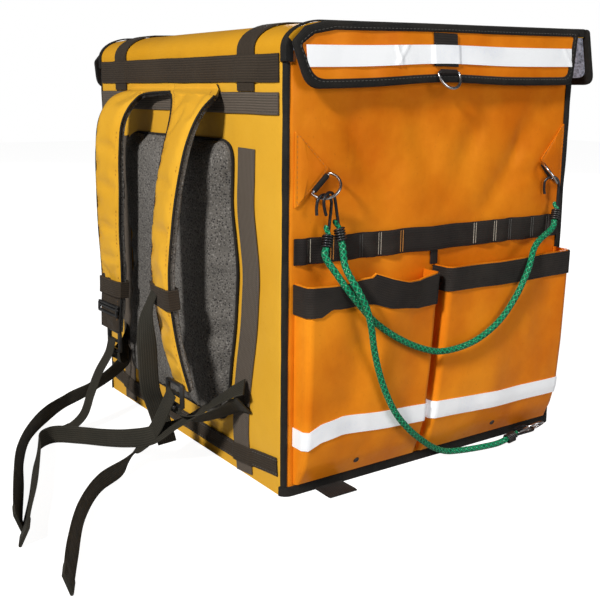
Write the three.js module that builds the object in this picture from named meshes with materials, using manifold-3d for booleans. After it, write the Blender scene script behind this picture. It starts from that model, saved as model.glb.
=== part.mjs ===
// Insulated delivery backpack, standing on its base with the lid closed.
// Millimetres, +Z up. The origin is the middle of the base, on the floor.
// The back panel with the shoulder straps faces -Y and the pocket side faces +X.

import * as THREE from 'three';
import { mergeVertices } from 'three/addons/utils/BufferGeometryUtils.js';
import Module from 'manifold-3d';

const wasm = await Module();
wasm.setup();

// Driving dimensions of the box
const WIDTH = 410; // between the pocket side and the plain side
const DEPTH = 386; // between the back panel and the front
const WALL = 8; // foam wall with its cover and lining
const CORNER = 9; // radius of the upright edges
const GAP = 0.35; // clearance between pieces that are sewn or rest together

// Driving dimensions of the lid
const SEAM_Z = 411.5; // seam of the lid on the back panel
const LID_BACK_Z = 447; // lid just behind its rounded back edge
const LID_FRONT_Z = 455; // lid at its front edge
const LID_ROUND_Y = 43; // rounded back edge, measured along the lid
const LID_ROUND_Z = 24; // rounded back edge, measured down the back
const LID_OVERHANG = 12; // lid past the front wall
const LID_CROWN = 4; // rise in the middle of the lid
const FLAP_DROP = 58; // depth of the hanging flaps
const FLAP_THICK = 4;
const FLAP_LEAN = 5; // side flaps stand off by this much at the hem
const FRONT_LEAN = 13; // the front flap stands off further
const BINDING = 8; // edge tape of the flaps
const EDGE_TAPE_THICK = 1.8;

// Webbing and tape
const LOAD_WEB = 30; // webbing that carries the bag
const WEB = 25; // cross webbing and the loop strip
const TAIL_WEB = 20; // adjusting tails and chest straps
const WEB_THICK = 1.5;
const TAPE = 19; // reflective tape
const TAPE_THICK = 0.8;
const LOAD_X = 140; // middle of the upright webbings, from the centre line

// Levels up the faces
const BASE_TAPE_Z = 10;
const LOWER_WEB_Z = 26;
const UPPER_WEB_Z = 375;
const BACK_WEB_TOP_Z = 333;
const HINGE_LOW_Z = 394;
const HINGE_HIGH_Z = 419;
const LOOP_WEB_Z = 241.5;
const POCKET_LOW_Z = 12;
const POCKET_TOP_Z = 210;
const POCKET_WALL = 2;
const BAND = 25; // tape along the pocket mouths

// Metal and cord
const RING_WIRE = 1.8; // radius of the D-ring wire
const RING_HALF = 14; // half the straight bar, to the middle of the wire
const RING_SHOULDER = 6; // straight side between bar and bow
const FLAP_RING_SHOULDER = 3;
const HOOK_WIRE = 1.5; // radius of the hook wire
const CORD = 8; // bungee cord

const HALF_W = WIDTH / 2;
const HALF_D = DEPTH / 2;
const LID_END_Y = HALF_D + LID_OVERHANG;

const X = new THREE.Vector3(1, 0, 0);
const Y = new THREE.Vector3(0, 1, 0);
const Z = new THREE.Vector3(0, 0, 1);

// Local frames on the four faces: u along the face, v up, w out of it
function faceFrame(along, out, x, y) {
  return new THREE.Matrix4().makeBasis(along, Z, out).setPosition(x, y, 0);
}
const FACE = {
  right: faceFrame(Y, X, HALF_W, 0),
  left: faceFrame(Y.clone().negate(), X.clone().negate(), -HALF_W, 0),
  back: faceFrame(X, Y.clone().negate(), 0, -HALF_D),
  front: faceFrame(X.clone().negate(), Y, 0, HALF_D),
};

// Finishes
function finish(color, roughness, metalness = 0) {
  return () => new THREE.MeshStandardMaterial({ color, roughness, metalness });
}
const FINISH = {
  cover: finish(0xe08a1c, 0.45),
  webbing: finish(0x2b2a26, 0.85),
  binding: finish(0x1d1c1a, 0.7),
  mesh: finish(0x5b5853, 0.95),
  tape: finish(0xe9ecf2, 0.35),
  plastic: finish(0x161616, 0.4),
  steel: finish(0xb9bcc0, 0.3, 1),
  wire: finish(0x1a1b1c, 0.45, 0.6),
  cord: finish(0x159a63, 0.8),
};

const bag = new THREE.Group();

function add(name, geometry, material) {
  const mesh = new THREE.Mesh(geometry, FINISH[material]());
  mesh.name = name;
  bag.add(mesh);
}

// Mesh builders

function signedVolume(points, faces) {
  let volume = 0;
  for (let i = 0; i < faces.length; i += 3) {
    const [a, b, c] = [points[faces[i]], points[faces[i + 1]], points[faces[i + 2]]];
    volume += a.dot(new THREE.Vector3().crossVectors(b, c)) / 6;
  }
  return volume;
}

// A closed solid from points and triangles, turned so that its faces point out
function closedSolid(points, faces) {
  const turned = signedVolume(points, faces) < 0;
  const index = turned ? faces.slice().reverse() : faces;
  const geometry = new THREE.BufferGeometry().setFromPoints(points);
  geometry.setIndex(index);
  geometry.computeVertexNormals();
  return geometry;
}

// A sheet with thickness between two grids of points; loop joins the last row to the first
function slab(inner, outer, loop = false) {
  const rows = inner.length;
  const cols = inner[0].length;
  const points = [...inner.flat(), ...outer.flat()];
  const at = (side, r, c) => (side * rows + (r % rows)) * cols + c;
  const faces = [];
  const quad = (a, b, c, d) => faces.push(a, b, c, a, c, d);
  const last = cols - 1;
  for (let r = 0; r < (loop ? rows : rows - 1); r++) {
    for (let c = 0; c < last; c++) {
      quad(at(1, r, c), at(1, r, c + 1), at(1, r + 1, c + 1), at(1, r + 1, c));
      quad(at(0, r, c), at(0, r + 1, c), at(0, r + 1, c + 1), at(0, r, c + 1));
    }
    quad(at(0, r, 0), at(1, r, 0), at(1, r + 1, 0), at(0, r + 1, 0));
    quad(at(1, r, last), at(0, r, last), at(0, r + 1, last), at(1, r + 1, last));
  }
  for (let c = 0; c < last && !loop; c++) {
    quad(at(0, 0, c), at(0, 0, c + 1), at(1, 0, c + 1), at(1, 0, c));
    const end = rows - 1;
    quad(at(1, end, c), at(1, end, c + 1), at(0, end, c + 1), at(0, end, c));
  }
  return closedSolid(points, faces);
}

// A solid through closed rings of equal length, capped at both ends
function loft(rings) {
  const count = rings[0].length;
  const points = rings.flat();
  const faces = [];
  for (let r = 0; r < rings.length - 1; r++) {
    for (let c = 0; c < count; c++) {
      const next = (c + 1) % count;
      const [a, b] = [r * count + c, r * count + next];
      faces.push(a, b, b + count, a, b + count, a + count);
    }
  }
  const cap = (ring, start, flip) => {
    const middle = ring.reduce((sum, p) => sum.add(p), new THREE.Vector3()).divideScalar(count);
    points.push(middle);
    for (let c = 0; c < count; c++) {
      const [a, b] = [start + c, start + ((c + 1) % count)];
      faces.push(points.length - 1, ...(flip ? [b, a] : [a, b]));
    }
  };
  cap(rings[0], 0, true);
  cap(rings[rings.length - 1], (rings.length - 1) * count, false);
  return closedSolid(points, faces);
}

// A wire bent along a closed flat path
function wireLoop(path, normal, radius, sides) {
  const count = path.length;
  const points = [];
  const faces = [];
  for (let i = 0; i < count; i++) {
    const along = path[(i + 1) % count].clone().sub(path[(i + count - 1) % count]).normalize();
    const aside = new THREE.Vector3().crossVectors(along, normal).normalize();
    for (let s = 0; s < sides; s++) {
      const turn = (s / sides) * 2 * Math.PI;
      const offset = aside.clone().multiplyScalar(radius * Math.cos(turn));
      points.push(path[i].clone().add(offset).addScaledVector(normal, radius * Math.sin(turn)));
    }
  }
  for (let i = 0; i < count; i++) {
    for (let s = 0; s < sides; s++) {
      const [a, b] = [i * sides + s, i * sides + ((s + 1) % sides)];
      const [c, d] = [((i + 1) % count) * sides + s, ((i + 1) % count) * sides + ((s + 1) % sides)];
      faces.push(a, b, d, a, d, c);
    }
  }
  return closedSolid(points, faces);
}

// A round bar or cord along a smooth route
function tube(route, radius, sides, steps) {
  const section = new THREE.Shape();
  for (let s = 0; s < sides; s++) {
    const turn = (s / sides) * 2 * Math.PI;
    const corner = [radius * Math.cos(turn), radius * Math.sin(turn)];
    if (s === 0) section.moveTo(...corner);
    else section.lineTo(...corner);
  }
  const extrudePath = new THREE.CatmullRomCurve3(route);
  return new THREE.ExtrudeGeometry(section, { steps, extrudePath, bevelEnabled: false });
}

// A flat band along stations, each with a point and a direction across the band
function ribbon(stations, width, thickness) {
  const inner = [];
  const outer = [];
  stations.forEach(({ at, across }, i) => {
    const before = stations[Math.max(i - 1, 0)].at;
    const after = stations[Math.min(i + 1, stations.length - 1)].at;
    const along = after.clone().sub(before).normalize();
    const normal = new THREE.Vector3().crossVectors(along, across).normalize();
    const side = new THREE.Vector3().crossVectors(normal, along);
    const edge = (s) => at.clone().addScaledVector(side, (s * width) / 2);
    inner.push([-1, 1].map((s) => edge(s).addScaledVector(normal, -thickness / 2)));
    outer.push([-1, 1].map((s) => edge(s).addScaledVector(normal, thickness / 2)));
  });
  return slab(inner, outer);
}

// A band along a smooth route; each row gives a point and the direction across the band
function bandRoute(rows, width, thickness, stepsPerRow) {
  const points = new THREE.CatmullRomCurve3(rows.map((r) => new THREE.Vector3(r.x, r.y, r.z)));
  const sides = rows.map((r) => new THREE.Vector3(r.ax, r.ay, r.az).normalize());
  const stations = [];
  const count = (rows.length - 1) * stepsPerRow;
  for (let i = 0; i <= count; i++) {
    const place = i / stepsPerRow;
    const low = Math.min(Math.floor(place), rows.length - 2);
    const across = sides[low].clone().lerp(sides[low + 1], place - low).normalize();
    stations.push({ at: points.getPoint(i / count), across });
  }
  return ribbon(stations, width, thickness);
}

// Points of an outline, turned to run clockwise or not
function turnedOutline(outline, clockwise) {
  const points = outline.map(([u, v]) => new THREE.Vector2(u, v));
  return THREE.ShapeUtils.isClockWise(points) === clockwise ? points : points.reverse();
}

// A flat plate on a face, cut from an outline in that face's u and v
function plate(face, outline, lift, thickness, holes = []) {
  const shape = new THREE.Shape(turnedOutline(outline, false));
  for (const hole of holes) shape.holes.push(new THREE.Path(turnedOutline(hole, true)));
  const geometry = new THREE.ExtrudeGeometry(shape, { depth: thickness, bevelEnabled: false });
  return geometry.translate(0, 0, lift).applyMatrix4(FACE[face]);
}

function rectangle(u0, v0, u1, v1) {
  return [[u0, v0], [u1, v0], [u1, v1], [u0, v1]];
}

// A polygon whose corners are rounded by the radius in each row
function roundedOutline(corners, steps = 4) {
  const outline = [];
  corners.forEach(({ u, v, radius = 0 }, i) => {
    const here = new THREE.Vector2(u, v);
    if (radius === 0) {
      outline.push([u, v]);
      return;
    }
    const before = corners[(i + corners.length - 1) % corners.length];
    const after = corners[(i + 1) % corners.length];
    const start = new THREE.Vector2(before.u, before.v).sub(here).setLength(radius).add(here);
    const end = new THREE.Vector2(after.u, after.v).sub(here).setLength(radius).add(here);
    const curve = new THREE.QuadraticBezierCurve(start, here, end);
    for (const p of curve.getPoints(steps)) outline.push([p.x, p.y]);
  });
  return outline;
}

// A strip along a face that climbs over what it crosses
function crossingStrip(face, v, from, to, crossings, width, thickness) {
  const low = GAP + thickness / 2;
  const ramp = 5;
  const stops = [{ u: from, lift: low }];
  for (const { u, half, lift } of crossings) {
    stops.push({ u: u - half - ramp, lift: low }, { u: u - half - 1, lift: low + lift });
    stops.push({ u: u + half + 1, lift: low + lift }, { u: u + half + ramp, lift: low });
  }
  stops.push({ u: to, lift: low });
  const stations = stops.map((stop) => ({
    at: new THREE.Vector3(stop.u, v, stop.lift).applyMatrix4(FACE[face]),
    across: Z.clone(),
  }));
  return ribbon(stations, width, thickness);
}

function toManifold(geometry) {
  const bare = geometry.clone();
  bare.deleteAttribute('normal');
  bare.deleteAttribute('uv');
  const merged = mergeVertices(bare, 1e-3);
  return new wasm.Manifold(new wasm.Mesh({
    numProp: 3,
    vertProperties: new Float32Array(merged.attributes.position.array),
    triVerts: new Uint32Array(merged.index.array),
  }));
}

function fuse(first, second) {
  const { vertProperties, triVerts, numProp } = toManifold(first).add(toManifold(second)).getMesh();
  const geometry = new THREE.BufferGeometry();
  const positions = [];
  for (let i = 0; i < vertProperties.length; i += numProp) {
    positions.push(new THREE.Vector3().fromArray(vertProperties, i));
  }
  geometry.setFromPoints(positions);
  geometry.setIndex(Array.from(triVerts));
  geometry.computeVertexNormals();
  return geometry;
}

// Value at a place in a table of rows that is sorted by one column
function interpolate(rows, key, place, value) {
  if (place <= rows[0][key]) return rows[0][value];
  for (let i = 1; i < rows.length; i++) {
    if (place <= rows[i][key]) {
      const share = (place - rows[i - 1][key]) / (rows[i][key] - rows[i - 1][key]);
      return THREE.MathUtils.lerp(rows[i - 1][value], rows[i][value], share);
    }
  }
  return rows[rows.length - 1][value];
}

// Body: a foam-walled box, open at the top under the lid

// Walls end just under the lid: low at the back seam, then up its rounded edge
const RIM = [
  { y: -HALF_D + CORNER + 0.5, z: SEAM_Z - GAP },
  { y: -HALF_D + 18, z: LID_BACK_Z - 22 },
  { y: -HALF_D + LID_ROUND_Y, z: LID_BACK_Z - WALL - 2 },
  { y: HALF_D, z: LID_FRONT_Z - WALL - 2 },
];

// Soft folds on the pocket side, running from the two ring patches to the middle
const FOLDS = [
  { y: -95, z: 322, run: 75, wide: 15, turn: -0.95, deep: 3.5 },
  { y: -30, z: 345, run: 60, wide: 14, turn: -1.1, deep: 3 },
  { y: 40, z: 335, run: 60, wide: 15, turn: 1.15, deep: 3 },
  { y: 105, z: 318, run: 70, wide: 14, turn: 0.95, deep: 3.5 },
];
const FOLD_LOW_Z = 262;
const FOLD_HIGH_Z = 384;

function foldDepth(y, z) {
  if (z <= FOLD_LOW_Z || z >= FOLD_HIGH_Z) return 0;
  return FOLDS.reduce((sum, fold) => {
    const [dy, dz] = [y - fold.y, z - fold.z];
    const along = dy * Math.cos(fold.turn) + dz * Math.sin(fold.turn);
    const aside = dz * Math.cos(fold.turn) - dy * Math.sin(fold.turn);
    return sum + fold.deep * Math.exp(-((along / fold.run) ** 2) - (aside / fold.wide) ** 2);
  }, 0);
}

// Points round a rounded rectangle that stands off the walls by an offset
function perimeter(offset, sidesAlongX, sidesAlongY) {
  const radius = CORNER + offset;
  const [hx, hy] = [HALF_W + offset, HALF_D + offset];
  const points = [];
  const corners = [
    { x: hx - radius, y: -hy + radius, turn: -Math.PI / 2, next: sidesAlongY, step: [0, 1] },
    { x: hx - radius, y: hy - radius, turn: 0, next: sidesAlongX, step: [-1, 0] },
    { x: -hx + radius, y: hy - radius, turn: Math.PI / 2, next: sidesAlongY, step: [0, -1] },
    { x: -hx + radius, y: -hy + radius, turn: Math.PI, next: sidesAlongX, step: [1, 0] },
  ];
  const arcSteps = 3;
  for (const { x, y, turn, next, step } of corners) {
    for (let i = 0; i <= arcSteps; i++) {
      const angle = turn + (i / arcSteps) * (Math.PI / 2);
      points.push({ x: x + radius * Math.cos(angle), y: y + radius * Math.sin(angle) });
    }
    const start = points[points.length - 1];
    const length = step[0] ? 2 * (hx - radius) : 2 * (hy - radius);
    for (let i = 1; i < next; i++) {
      const run = (length * i) / next;
      points.push({ x: start.x + step[0] * run, y: start.y + step[1] * run });
    }
  }
  return points;
}

function bodyShell() {
  const levels = [0, LOOP_WEB_Z - WEB / 2, FOLD_LOW_Z, 286, 308, 330, 352, FOLD_HIGH_Z];
  const outline = perimeter(0, 4, 14);
  const lining = perimeter(-WALL, 4, 14);
  const rim = (y) => interpolate(RIM, 'y', y, 'z');
  const rings = levels.map((z) => outline.map(({ x, y }) => {
    const dent = x > HALF_W - 0.1 ? foldDepth(y, z) : 0;
    return new THREE.Vector3(x - dent, y, z);
  }));
  rings.push(outline.map(({ x, y }) => new THREE.Vector3(x, y, rim(y))));
  rings.push(lining.map(({ x, y }, i) => new THREE.Vector3(x, y, rim(outline[i].y))));
  rings.push(lining.map(({ x, y }) => new THREE.Vector3(x, y, WALL)));
  return loft(rings);
}
add('body_shell', bodyShell(), 'cover');

// Lid: one padded panel that rolls down to the back seam

// Stations along the lid from the back seam to the front edge, with the way out of the lid
function lidStations() {
  const stations = [{ y: -HALF_D, z: SEAM_Z, ny: -1, nz: 0, rise: 0 }];
  const arcSteps = 6;
  for (let i = 0; i <= arcSteps; i++) {
    const turn = ((i / arcSteps) * Math.PI) / 2;
    const normal = new THREE.Vector2(-Math.cos(turn) / LID_ROUND_Y, Math.sin(turn) / LID_ROUND_Z);
    normal.normalize();
    stations.push({
      y: -HALF_D + LID_ROUND_Y * (1 - Math.cos(turn)),
      z: LID_BACK_Z - LID_ROUND_Z * (1 - Math.sin(turn)),
      ny: normal.x,
      nz: normal.y,
      rise: 0,
    });
  }
  const topSteps = 6;
  for (let i = 1; i <= topSteps; i++) {
    const share = i / topSteps;
    stations.push({
      y: THREE.MathUtils.lerp(-HALF_D + LID_ROUND_Y, LID_END_Y, share),
      z: THREE.MathUtils.lerp(LID_BACK_Z, LID_FRONT_Z, share),
      ny: 0,
      nz: 1,
      rise: Math.sin(share * Math.PI),
    });
  }
  return stations;
}
const LID = lidStations();

function lidPoint(station, x, lift) {
  const crown = LID_CROWN * station.rise * (1 - (x / HALF_W) ** 2);
  return new THREE.Vector3(x, station.y + station.ny * lift, station.z + station.nz * lift + crown);
}

function lidTop(y) {
  return interpolate(LID.slice(1), 'y', y, 'z');
}

function lidPanel() {
  const across = 8;
  const row = (station, lift) => Array.from({ length: across + 1 }, (_, i) => (
    lidPoint(station, -HALF_W + (WIDTH * i) / across, lift)));
  return slab(LID.map((s) => row(s, -WALL)), LID.map((s) => row(s, 0)));
}
add('lid_panel', lidPanel(), 'cover');

// Flaps: each hangs from one edge of the lid and is framed in edge tape

// Outline of a flap, drawn in by an inset on every side; heights are measured from the lid's edge line
function flapOutline(corners, inset, edgeLine) {
  const us = corners.map((c) => c.u);
  const vs = corners.map((c) => c.v);
  const [u0, u1, v0, v1] = [Math.min(...us), Math.max(...us), Math.min(...vs), Math.max(...vs)];
  const shrink = (value, low, high) => {
    const middle = (low + high) / 2;
    return middle + (value - middle) * (1 - (2 * inset) / (high - low));
  };
  return roundedOutline(corners).map(([u, v]) => [
    shrink(u, u0, u1),
    shrink(v, v0, v1) + edgeLine(u),
  ]);
}

const sideLine = (y) => THREE.MathUtils.mapLinear(
  y, -HALF_D + LID_ROUND_Y, LID_END_Y, LID_BACK_Z, LID_FRONT_Z);
const SIDE_FLAP = [
  { u: -HALF_D + 10, v: lidTop(-HALF_D + 10) - LID_BACK_Z - 2, radius: 3 },
  { u: -HALF_D + 24, v: lidTop(-HALF_D + 24) - LID_BACK_Z + 0.5 },
  { u: -HALF_D + LID_ROUND_Y, v: 1 },
  { u: LID_END_Y, v: 1, radius: 4 },
  { u: LID_END_Y, v: -FLAP_DROP, radius: 12 },
  { u: -HALF_D + 21, v: -FLAP_DROP, radius: 18 },
];
const FRONT_HALF = HALF_W + 5;

// A plate on a flap, which leans out towards its hem
function flapPlate(face, outline, lift, thickness, lean, holes = []) {
  const flat = plate(face, outline, lift, thickness, holes);
  const out = new THREE.Vector3().setFromMatrixColumn(FACE[face], 2);
  const position = flat.attributes.position;
  for (let i = 0; i < position.count; i++) {
    const drop = Math.max(0, LID_FRONT_Z - position.getZ(i)) / FLAP_DROP;
    const point = new THREE.Vector3().fromBufferAttribute(position, i);
    point.addScaledVector(out, lean * drop);
    position.setXYZ(i, point.x, point.y, point.z);
  }
  return flat;
}

function addFlap(name, corners, edgeLine, lift, lean) {
  const outline = (inset) => flapOutline(corners, inset, edgeLine);
  const panel = outline(BINDING + GAP);
  add(`lid_flap_${name}`, flapPlate(name, panel, lift, FLAP_THICK, lean), 'cover');
  const frameThick = FLAP_THICK + 1.2;
  const frame = flapPlate(name, outline(0), lift, frameThick, lean, [outline(BINDING)]);
  add(`flap_binding_${name}`, frame, 'binding');
}

addFlap('right', SIDE_FLAP, sideLine, GAP, FLAP_LEAN);
const farFlap = SIDE_FLAP.map((c) => ({ ...c, u: -c.u })).reverse();
addFlap('left', farFlap, (u) => sideLine(-u), GAP, FLAP_LEAN);
addFlap('front', [
  { u: -FRONT_HALF, v: 1, radius: 4 },
  { u: FRONT_HALF, v: 1, radius: 4 },
  { u: FRONT_HALF, v: -FLAP_DROP, radius: 12 },
  { u: -FRONT_HALF, v: -FLAP_DROP, radius: 12 },
], () => LID_FRONT_Z, LID_OVERHANG + GAP, FRONT_LEAN);

// Edge tape on the body: four upright edges and one loop round the base

function edgeBinding(signX, signY, top) {
  const arcSteps = 3;
  const row = (offset, z) => Array.from({ length: arcSteps + 1 }, (_, i) => {
    const turn = ((i / arcSteps) * Math.PI) / 2;
    const x = HALF_W - CORNER + (CORNER + offset) * Math.cos(turn);
    const y = HALF_D - CORNER + (CORNER + offset) * Math.sin(turn);
    return new THREE.Vector3(signX * x, signY * y, z);
  });
  const grid = (offset) => [BASE_TAPE_Z + GAP, top].map((z) => row(offset, z));
  return slab(grid(GAP), grid(GAP + EDGE_TAPE_THICK));
}
const FRONT_EDGE_TOP = LID_BACK_Z - FLAP_DROP - 3;
const BACK_EDGE_TOP = HINGE_LOW_Z - GAP;
add('edge_binding_back_right', edgeBinding(1, -1, BACK_EDGE_TOP), 'binding');
add('edge_binding_back_left', edgeBinding(-1, -1, BACK_EDGE_TOP), 'binding');
add('edge_binding_front_right', edgeBinding(1, 1, FRONT_EDGE_TOP), 'binding');
add('edge_binding_front_left', edgeBinding(-1, 1, FRONT_EDGE_TOP), 'binding');

function baseBinding() {
  const grid = (offset) => perimeter(offset, 1, 1).map(({ x, y }) => [
    new THREE.Vector3(x, y, GAP),
    new THREE.Vector3(x, y, BASE_TAPE_Z),
  ]);
  return slab(grid(GAP), grid(GAP + EDGE_TAPE_THICK), true);
}
add('base_binding', baseBinding(), 'binding');

// Webbing on the back panel and over the lid

const backEnd = HALF_W - CORNER - GAP;
const overLoads = [-LOAD_X, LOAD_X].map((u) => ({ u, half: LOAD_WEB / 2, lift: WEB_THICK + GAP }));
const hingeMiddle = (HINGE_LOW_Z + HINGE_HIGH_Z) / 2;
add('hinge_band', crossingStrip('back', hingeMiddle, -backEnd, backEnd, overLoads, WEB, WEB_THICK), 'webbing');
add('lower_back_webbing',
  crossingStrip('back', LOWER_WEB_Z, -backEnd, backEnd, overLoads, WEB, WEB_THICK), 'webbing');
add('upper_back_webbing',
  crossingStrip('back', UPPER_WEB_Z, -backEnd, backEnd, [], TAIL_WEB, WEB_THICK), 'webbing');

// Starts behind the hinge band, rolls over the lid's back edge and runs to its front
function lidWebbing(x) {
  const lift = 2 * GAP + WEB_THICK / 2;
  const stations = LID.map((station) => ({ at: lidPoint(station, x, lift), across: X.clone() }));
  const foot = new THREE.Vector3(x, -HALF_D - lift, UPPER_WEB_Z + TAIL_WEB / 2 + 1);
  return ribbon([{ at: foot, across: X.clone() }, ...stations], LOAD_WEB, WEB_THICK);
}

function backWebbing(x) {
  const outline = rectangle(x - LOAD_WEB / 2, BASE_TAPE_Z + GAP, x + LOAD_WEB / 2, BACK_WEB_TOP_Z);
  return plate('back', outline, GAP, WEB_THICK);
}

for (const [side, sign] of [['left', -1], ['right', 1]]) {
  add(`lid_webbing_${side}`, lidWebbing(sign * LOAD_X), 'webbing');
  add(`back_webbing_${side}`, backWebbing(sign * LOAD_X), 'webbing');
}

// Back pad: foam under spacer mesh, rounded at its corners and crowned
const PAD = { half: 116, low: 48, high: 338, corner: 22 };
const PAD_SECTIONS = [
  { lift: GAP, inset: 0 },
  { lift: 5, inset: 0 },
  { lift: 10, inset: 4 },
  { lift: 13, inset: 13 },
  { lift: 14, inset: 40 },
];

function backPad() {
  const ring = ({ lift, inset }) => {
    const [half, low, high] = [PAD.half - inset, PAD.low + inset, PAD.high - inset];
    const corners = [[-half, low], [half, low], [half, high], [-half, high]];
    const outline = roundedOutline(corners.map(([u, v]) => ({ u, v, radius: PAD.corner })), 3);
    return outline.map(([u, v]) => new THREE.Vector3(u, v, lift).applyMatrix4(FACE.back));
  };
  return loft(PAD_SECTIONS.map(ring));
}
add('back_pad', backPad(), 'mesh');

// Shoulder straps: padded bands that share a sewn yoke and hang clear of the panel

// Each row is a section: distance out from the panel, height, edges from the centre line, thickness
const STRAP_RIGHT = [
  { out: 2.2, z: 392.5, inner: 0.2, outer: 110, thick: 3 },
  { out: 2.4, z: 388, inner: 0.2, outer: 110, thick: 3 },
  { out: 9, z: 383.5, inner: 24, outer: 109.5, thick: 5 },
  { out: 17.5, z: 377, inner: 38, outer: 109, thick: 8 },
  { out: 26.6, z: 363, inner: 48, outer: 108, thick: 10 },
  { out: 35.8, z: 346, inner: 51, outer: 107.5, thick: 11 },
  { out: 42.7, z: 329, inner: 51.5, outer: 108, thick: 12 },
  { out: 52.3, z: 291, inner: 52.5, outer: 108.5, thick: 12 },
  { out: 58.6, z: 252, inner: 55.5, outer: 108.5, thick: 12 },
  { out: 64, z: 204, inner: 61, outer: 111, thick: 12 },
  { out: 60.6, z: 153, inner: 68.5, outer: 115.5, thick: 12 },
  { out: 56.6, z: 122, inner: 75.5, outer: 120.5, thick: 11 },
  { out: 52.4, z: 97, inner: 82, outer: 126, thick: 9 },
];
const STRAP_LEFT = [
  { out: 2.2, z: 392.5, inner: 0.2, outer: 110, thick: 3 },
  { out: 2.4, z: 388, inner: 0.2, outer: 110, thick: 3 },
  { out: 10, z: 383.5, inner: 24, outer: 109.5, thick: 5 },
  { out: 20, z: 378, inner: 36, outer: 109, thick: 8 },
  { out: 31.9, z: 371, inner: 44, outer: 108, thick: 10 },
  { out: 39.7, z: 353, inner: 50, outer: 107.5, thick: 11 },
  { out: 44.5, z: 320, inner: 51, outer: 107.5, thick: 12 },
  { out: 45.4, z: 276, inner: 52, outer: 108, thick: 12 },
  { out: 45.1, z: 230, inner: 56, outer: 108, thick: 12 },
  { out: 43.1, z: 195, inner: 59, outer: 109, thick: 12 },
  { out: 42.1, z: 165, inner: 62, outer: 110, thick: 12 },
  { out: 43.7, z: 135, inner: 65, outer: 111, thick: 11 },
  { out: 44.4, z: 112, inner: 68, outer: 112, thick: 9 },
];
const STRAP_TURN = Math.tan(THREE.MathUtils.degToRad(9)); // the edge towards +X stands further out
const STRAP_COLUMNS = [
  { share: 0, fill: 0.5 },
  { share: 0.12, fill: 0.95 },
  { share: 0.5, fill: 1 },
  { share: 0.88, fill: 0.95 },
  { share: 1, fill: 0.5 },
];

// Closed section of a strap at a row of its table, grown outwards by a margin
function strapSection(table, sign, row, grow) {
  const { out, z, inner, outer, thick } = table[row];
  const before = table[Math.max(row - 1, 0)];
  const after = table[Math.min(row + 1, table.length - 1)];
  const along = new THREE.Vector2(after.out - before.out, after.z - before.z).normalize();
  const normal = new THREE.Vector2(-along.y, along.x);
  const half = (outer - inner) / 2 + grow;
  const turn = STRAP_TURN * THREE.MathUtils.smoothstep(row, 1, 4);
  const point = ({ share, fill }, face) => {
    const aside = (2 * share - 1) * half;
    const lift = face * ((thick / 2) * fill + grow);
    const reach = out + normal.x * lift + turn * sign * aside;
    return new THREE.Vector3(sign * ((inner + outer) / 2 + aside), -HALF_D - reach, z + normal.y * lift);
  };
  const columns = STRAP_COLUMNS.map((column) => point(column, 1));
  return [...columns, ...STRAP_COLUMNS.map((column) => point(column, -1)).reverse()];
}

// A band sewn round a strap; its places are rows of the strap's table, or lie between two rows
function strapLoop(table, sign, places) {
  const side = (grow) => {
    const rings = places.map((place) => {
      const low = Math.min(Math.floor(place), table.length - 2);
      const upper = strapSection(table, sign, low + 1, grow);
      return strapSection(table, sign, low, grow).map((p, i) => p.lerp(upper[i], place - low));
    });
    return rings[0].map((_, i) => rings.map((ring) => ring[i]));
  };
  return slab(side(GAP), side(GAP + WEB_THICK), true);
}

const STRAPS = [
  { side: 'right', sign: 1, table: STRAP_RIGHT, loop: [8.85, 9, 9.25] },
  { side: 'left', sign: -1, table: STRAP_LEFT, loop: [9.45, 10, 10.1] },
];
for (const { side, sign, table, loop } of STRAPS) {
  add(`shoulder_strap_${side}`, loft(table.map((_, i) => strapSection(table, sign, i, 0))), 'cover');
  add(`sternum_loop_${side}`, strapLoop(table, sign, loop), 'webbing');
}

// Ladder locks at the strap ends: a frame of three bars
const LOCK = { half: 17, rise: 13, thick: 4.5, slot: 13, slotHigh: 3.5, slotAt: 5 };
const LOCKS = [
  { side: 'right', x: 105, z: 82.4, lift: 48 },
  { side: 'left', x: -90, z: 98, lift: 40 },
];
for (const { side, x, z, lift } of LOCKS) {
  const frame = roundedOutline(rectangle(x - LOCK.half, z - LOCK.rise, x + LOCK.half, z + LOCK.rise)
    .map(([u, v]) => ({ u, v, radius: 3 })), 2);
  const slot = (v) => rectangle(x - LOCK.slot, v - LOCK.slotHigh / 2, x + LOCK.slot, v + LOCK.slotHigh / 2);
  const slots = [slot(z - LOCK.slotAt), slot(z + LOCK.slotAt)];
  add(`ladder_lock_${side}`, plate('back', frame, lift, LOCK.thick, slots), 'plastic');
}

// Free webbing: each row is a point on the route and the direction across the band

const ANCHORS = {
  right: [
    { x: 105.5, y: -243.2, z: 68.2, ax: 1, ay: 0, az: 0 },
    { x: 106.5, y: -241, z: 61, ax: 1, ay: 0, az: 0 },
    { x: 114, y: -232, z: 60, ax: 0.85, ay: 0.2, az: 0.45 },
    { x: 127, y: -214, z: 74, ax: 0.45, ay: 0.2, az: 0.87 },
    { x: 139, y: -200, z: 87, ax: 0.1, ay: 0, az: 1 },
    { x: 152, y: -196.6, z: 91, ax: 0, ay: 0, az: 1 },
  ],
  left: [
    { x: -90.5, y: -235.2, z: 83.4, ax: -1, ay: 0, az: 0 },
    { x: -91, y: -234, z: 75, ax: -1, ay: 0, az: 0 },
    { x: -101, y: -224, z: 74, ax: -0.85, ay: 0.2, az: 0.45 },
    { x: -120, y: -209, z: 80, ax: -0.45, ay: 0.2, az: 0.87 },
    { x: -134, y: -200, z: 88, ax: -0.1, ay: 0, az: 1 },
    { x: -148, y: -196.6, z: 91, ax: 0, ay: 0, az: 1 },
  ],
};
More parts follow.
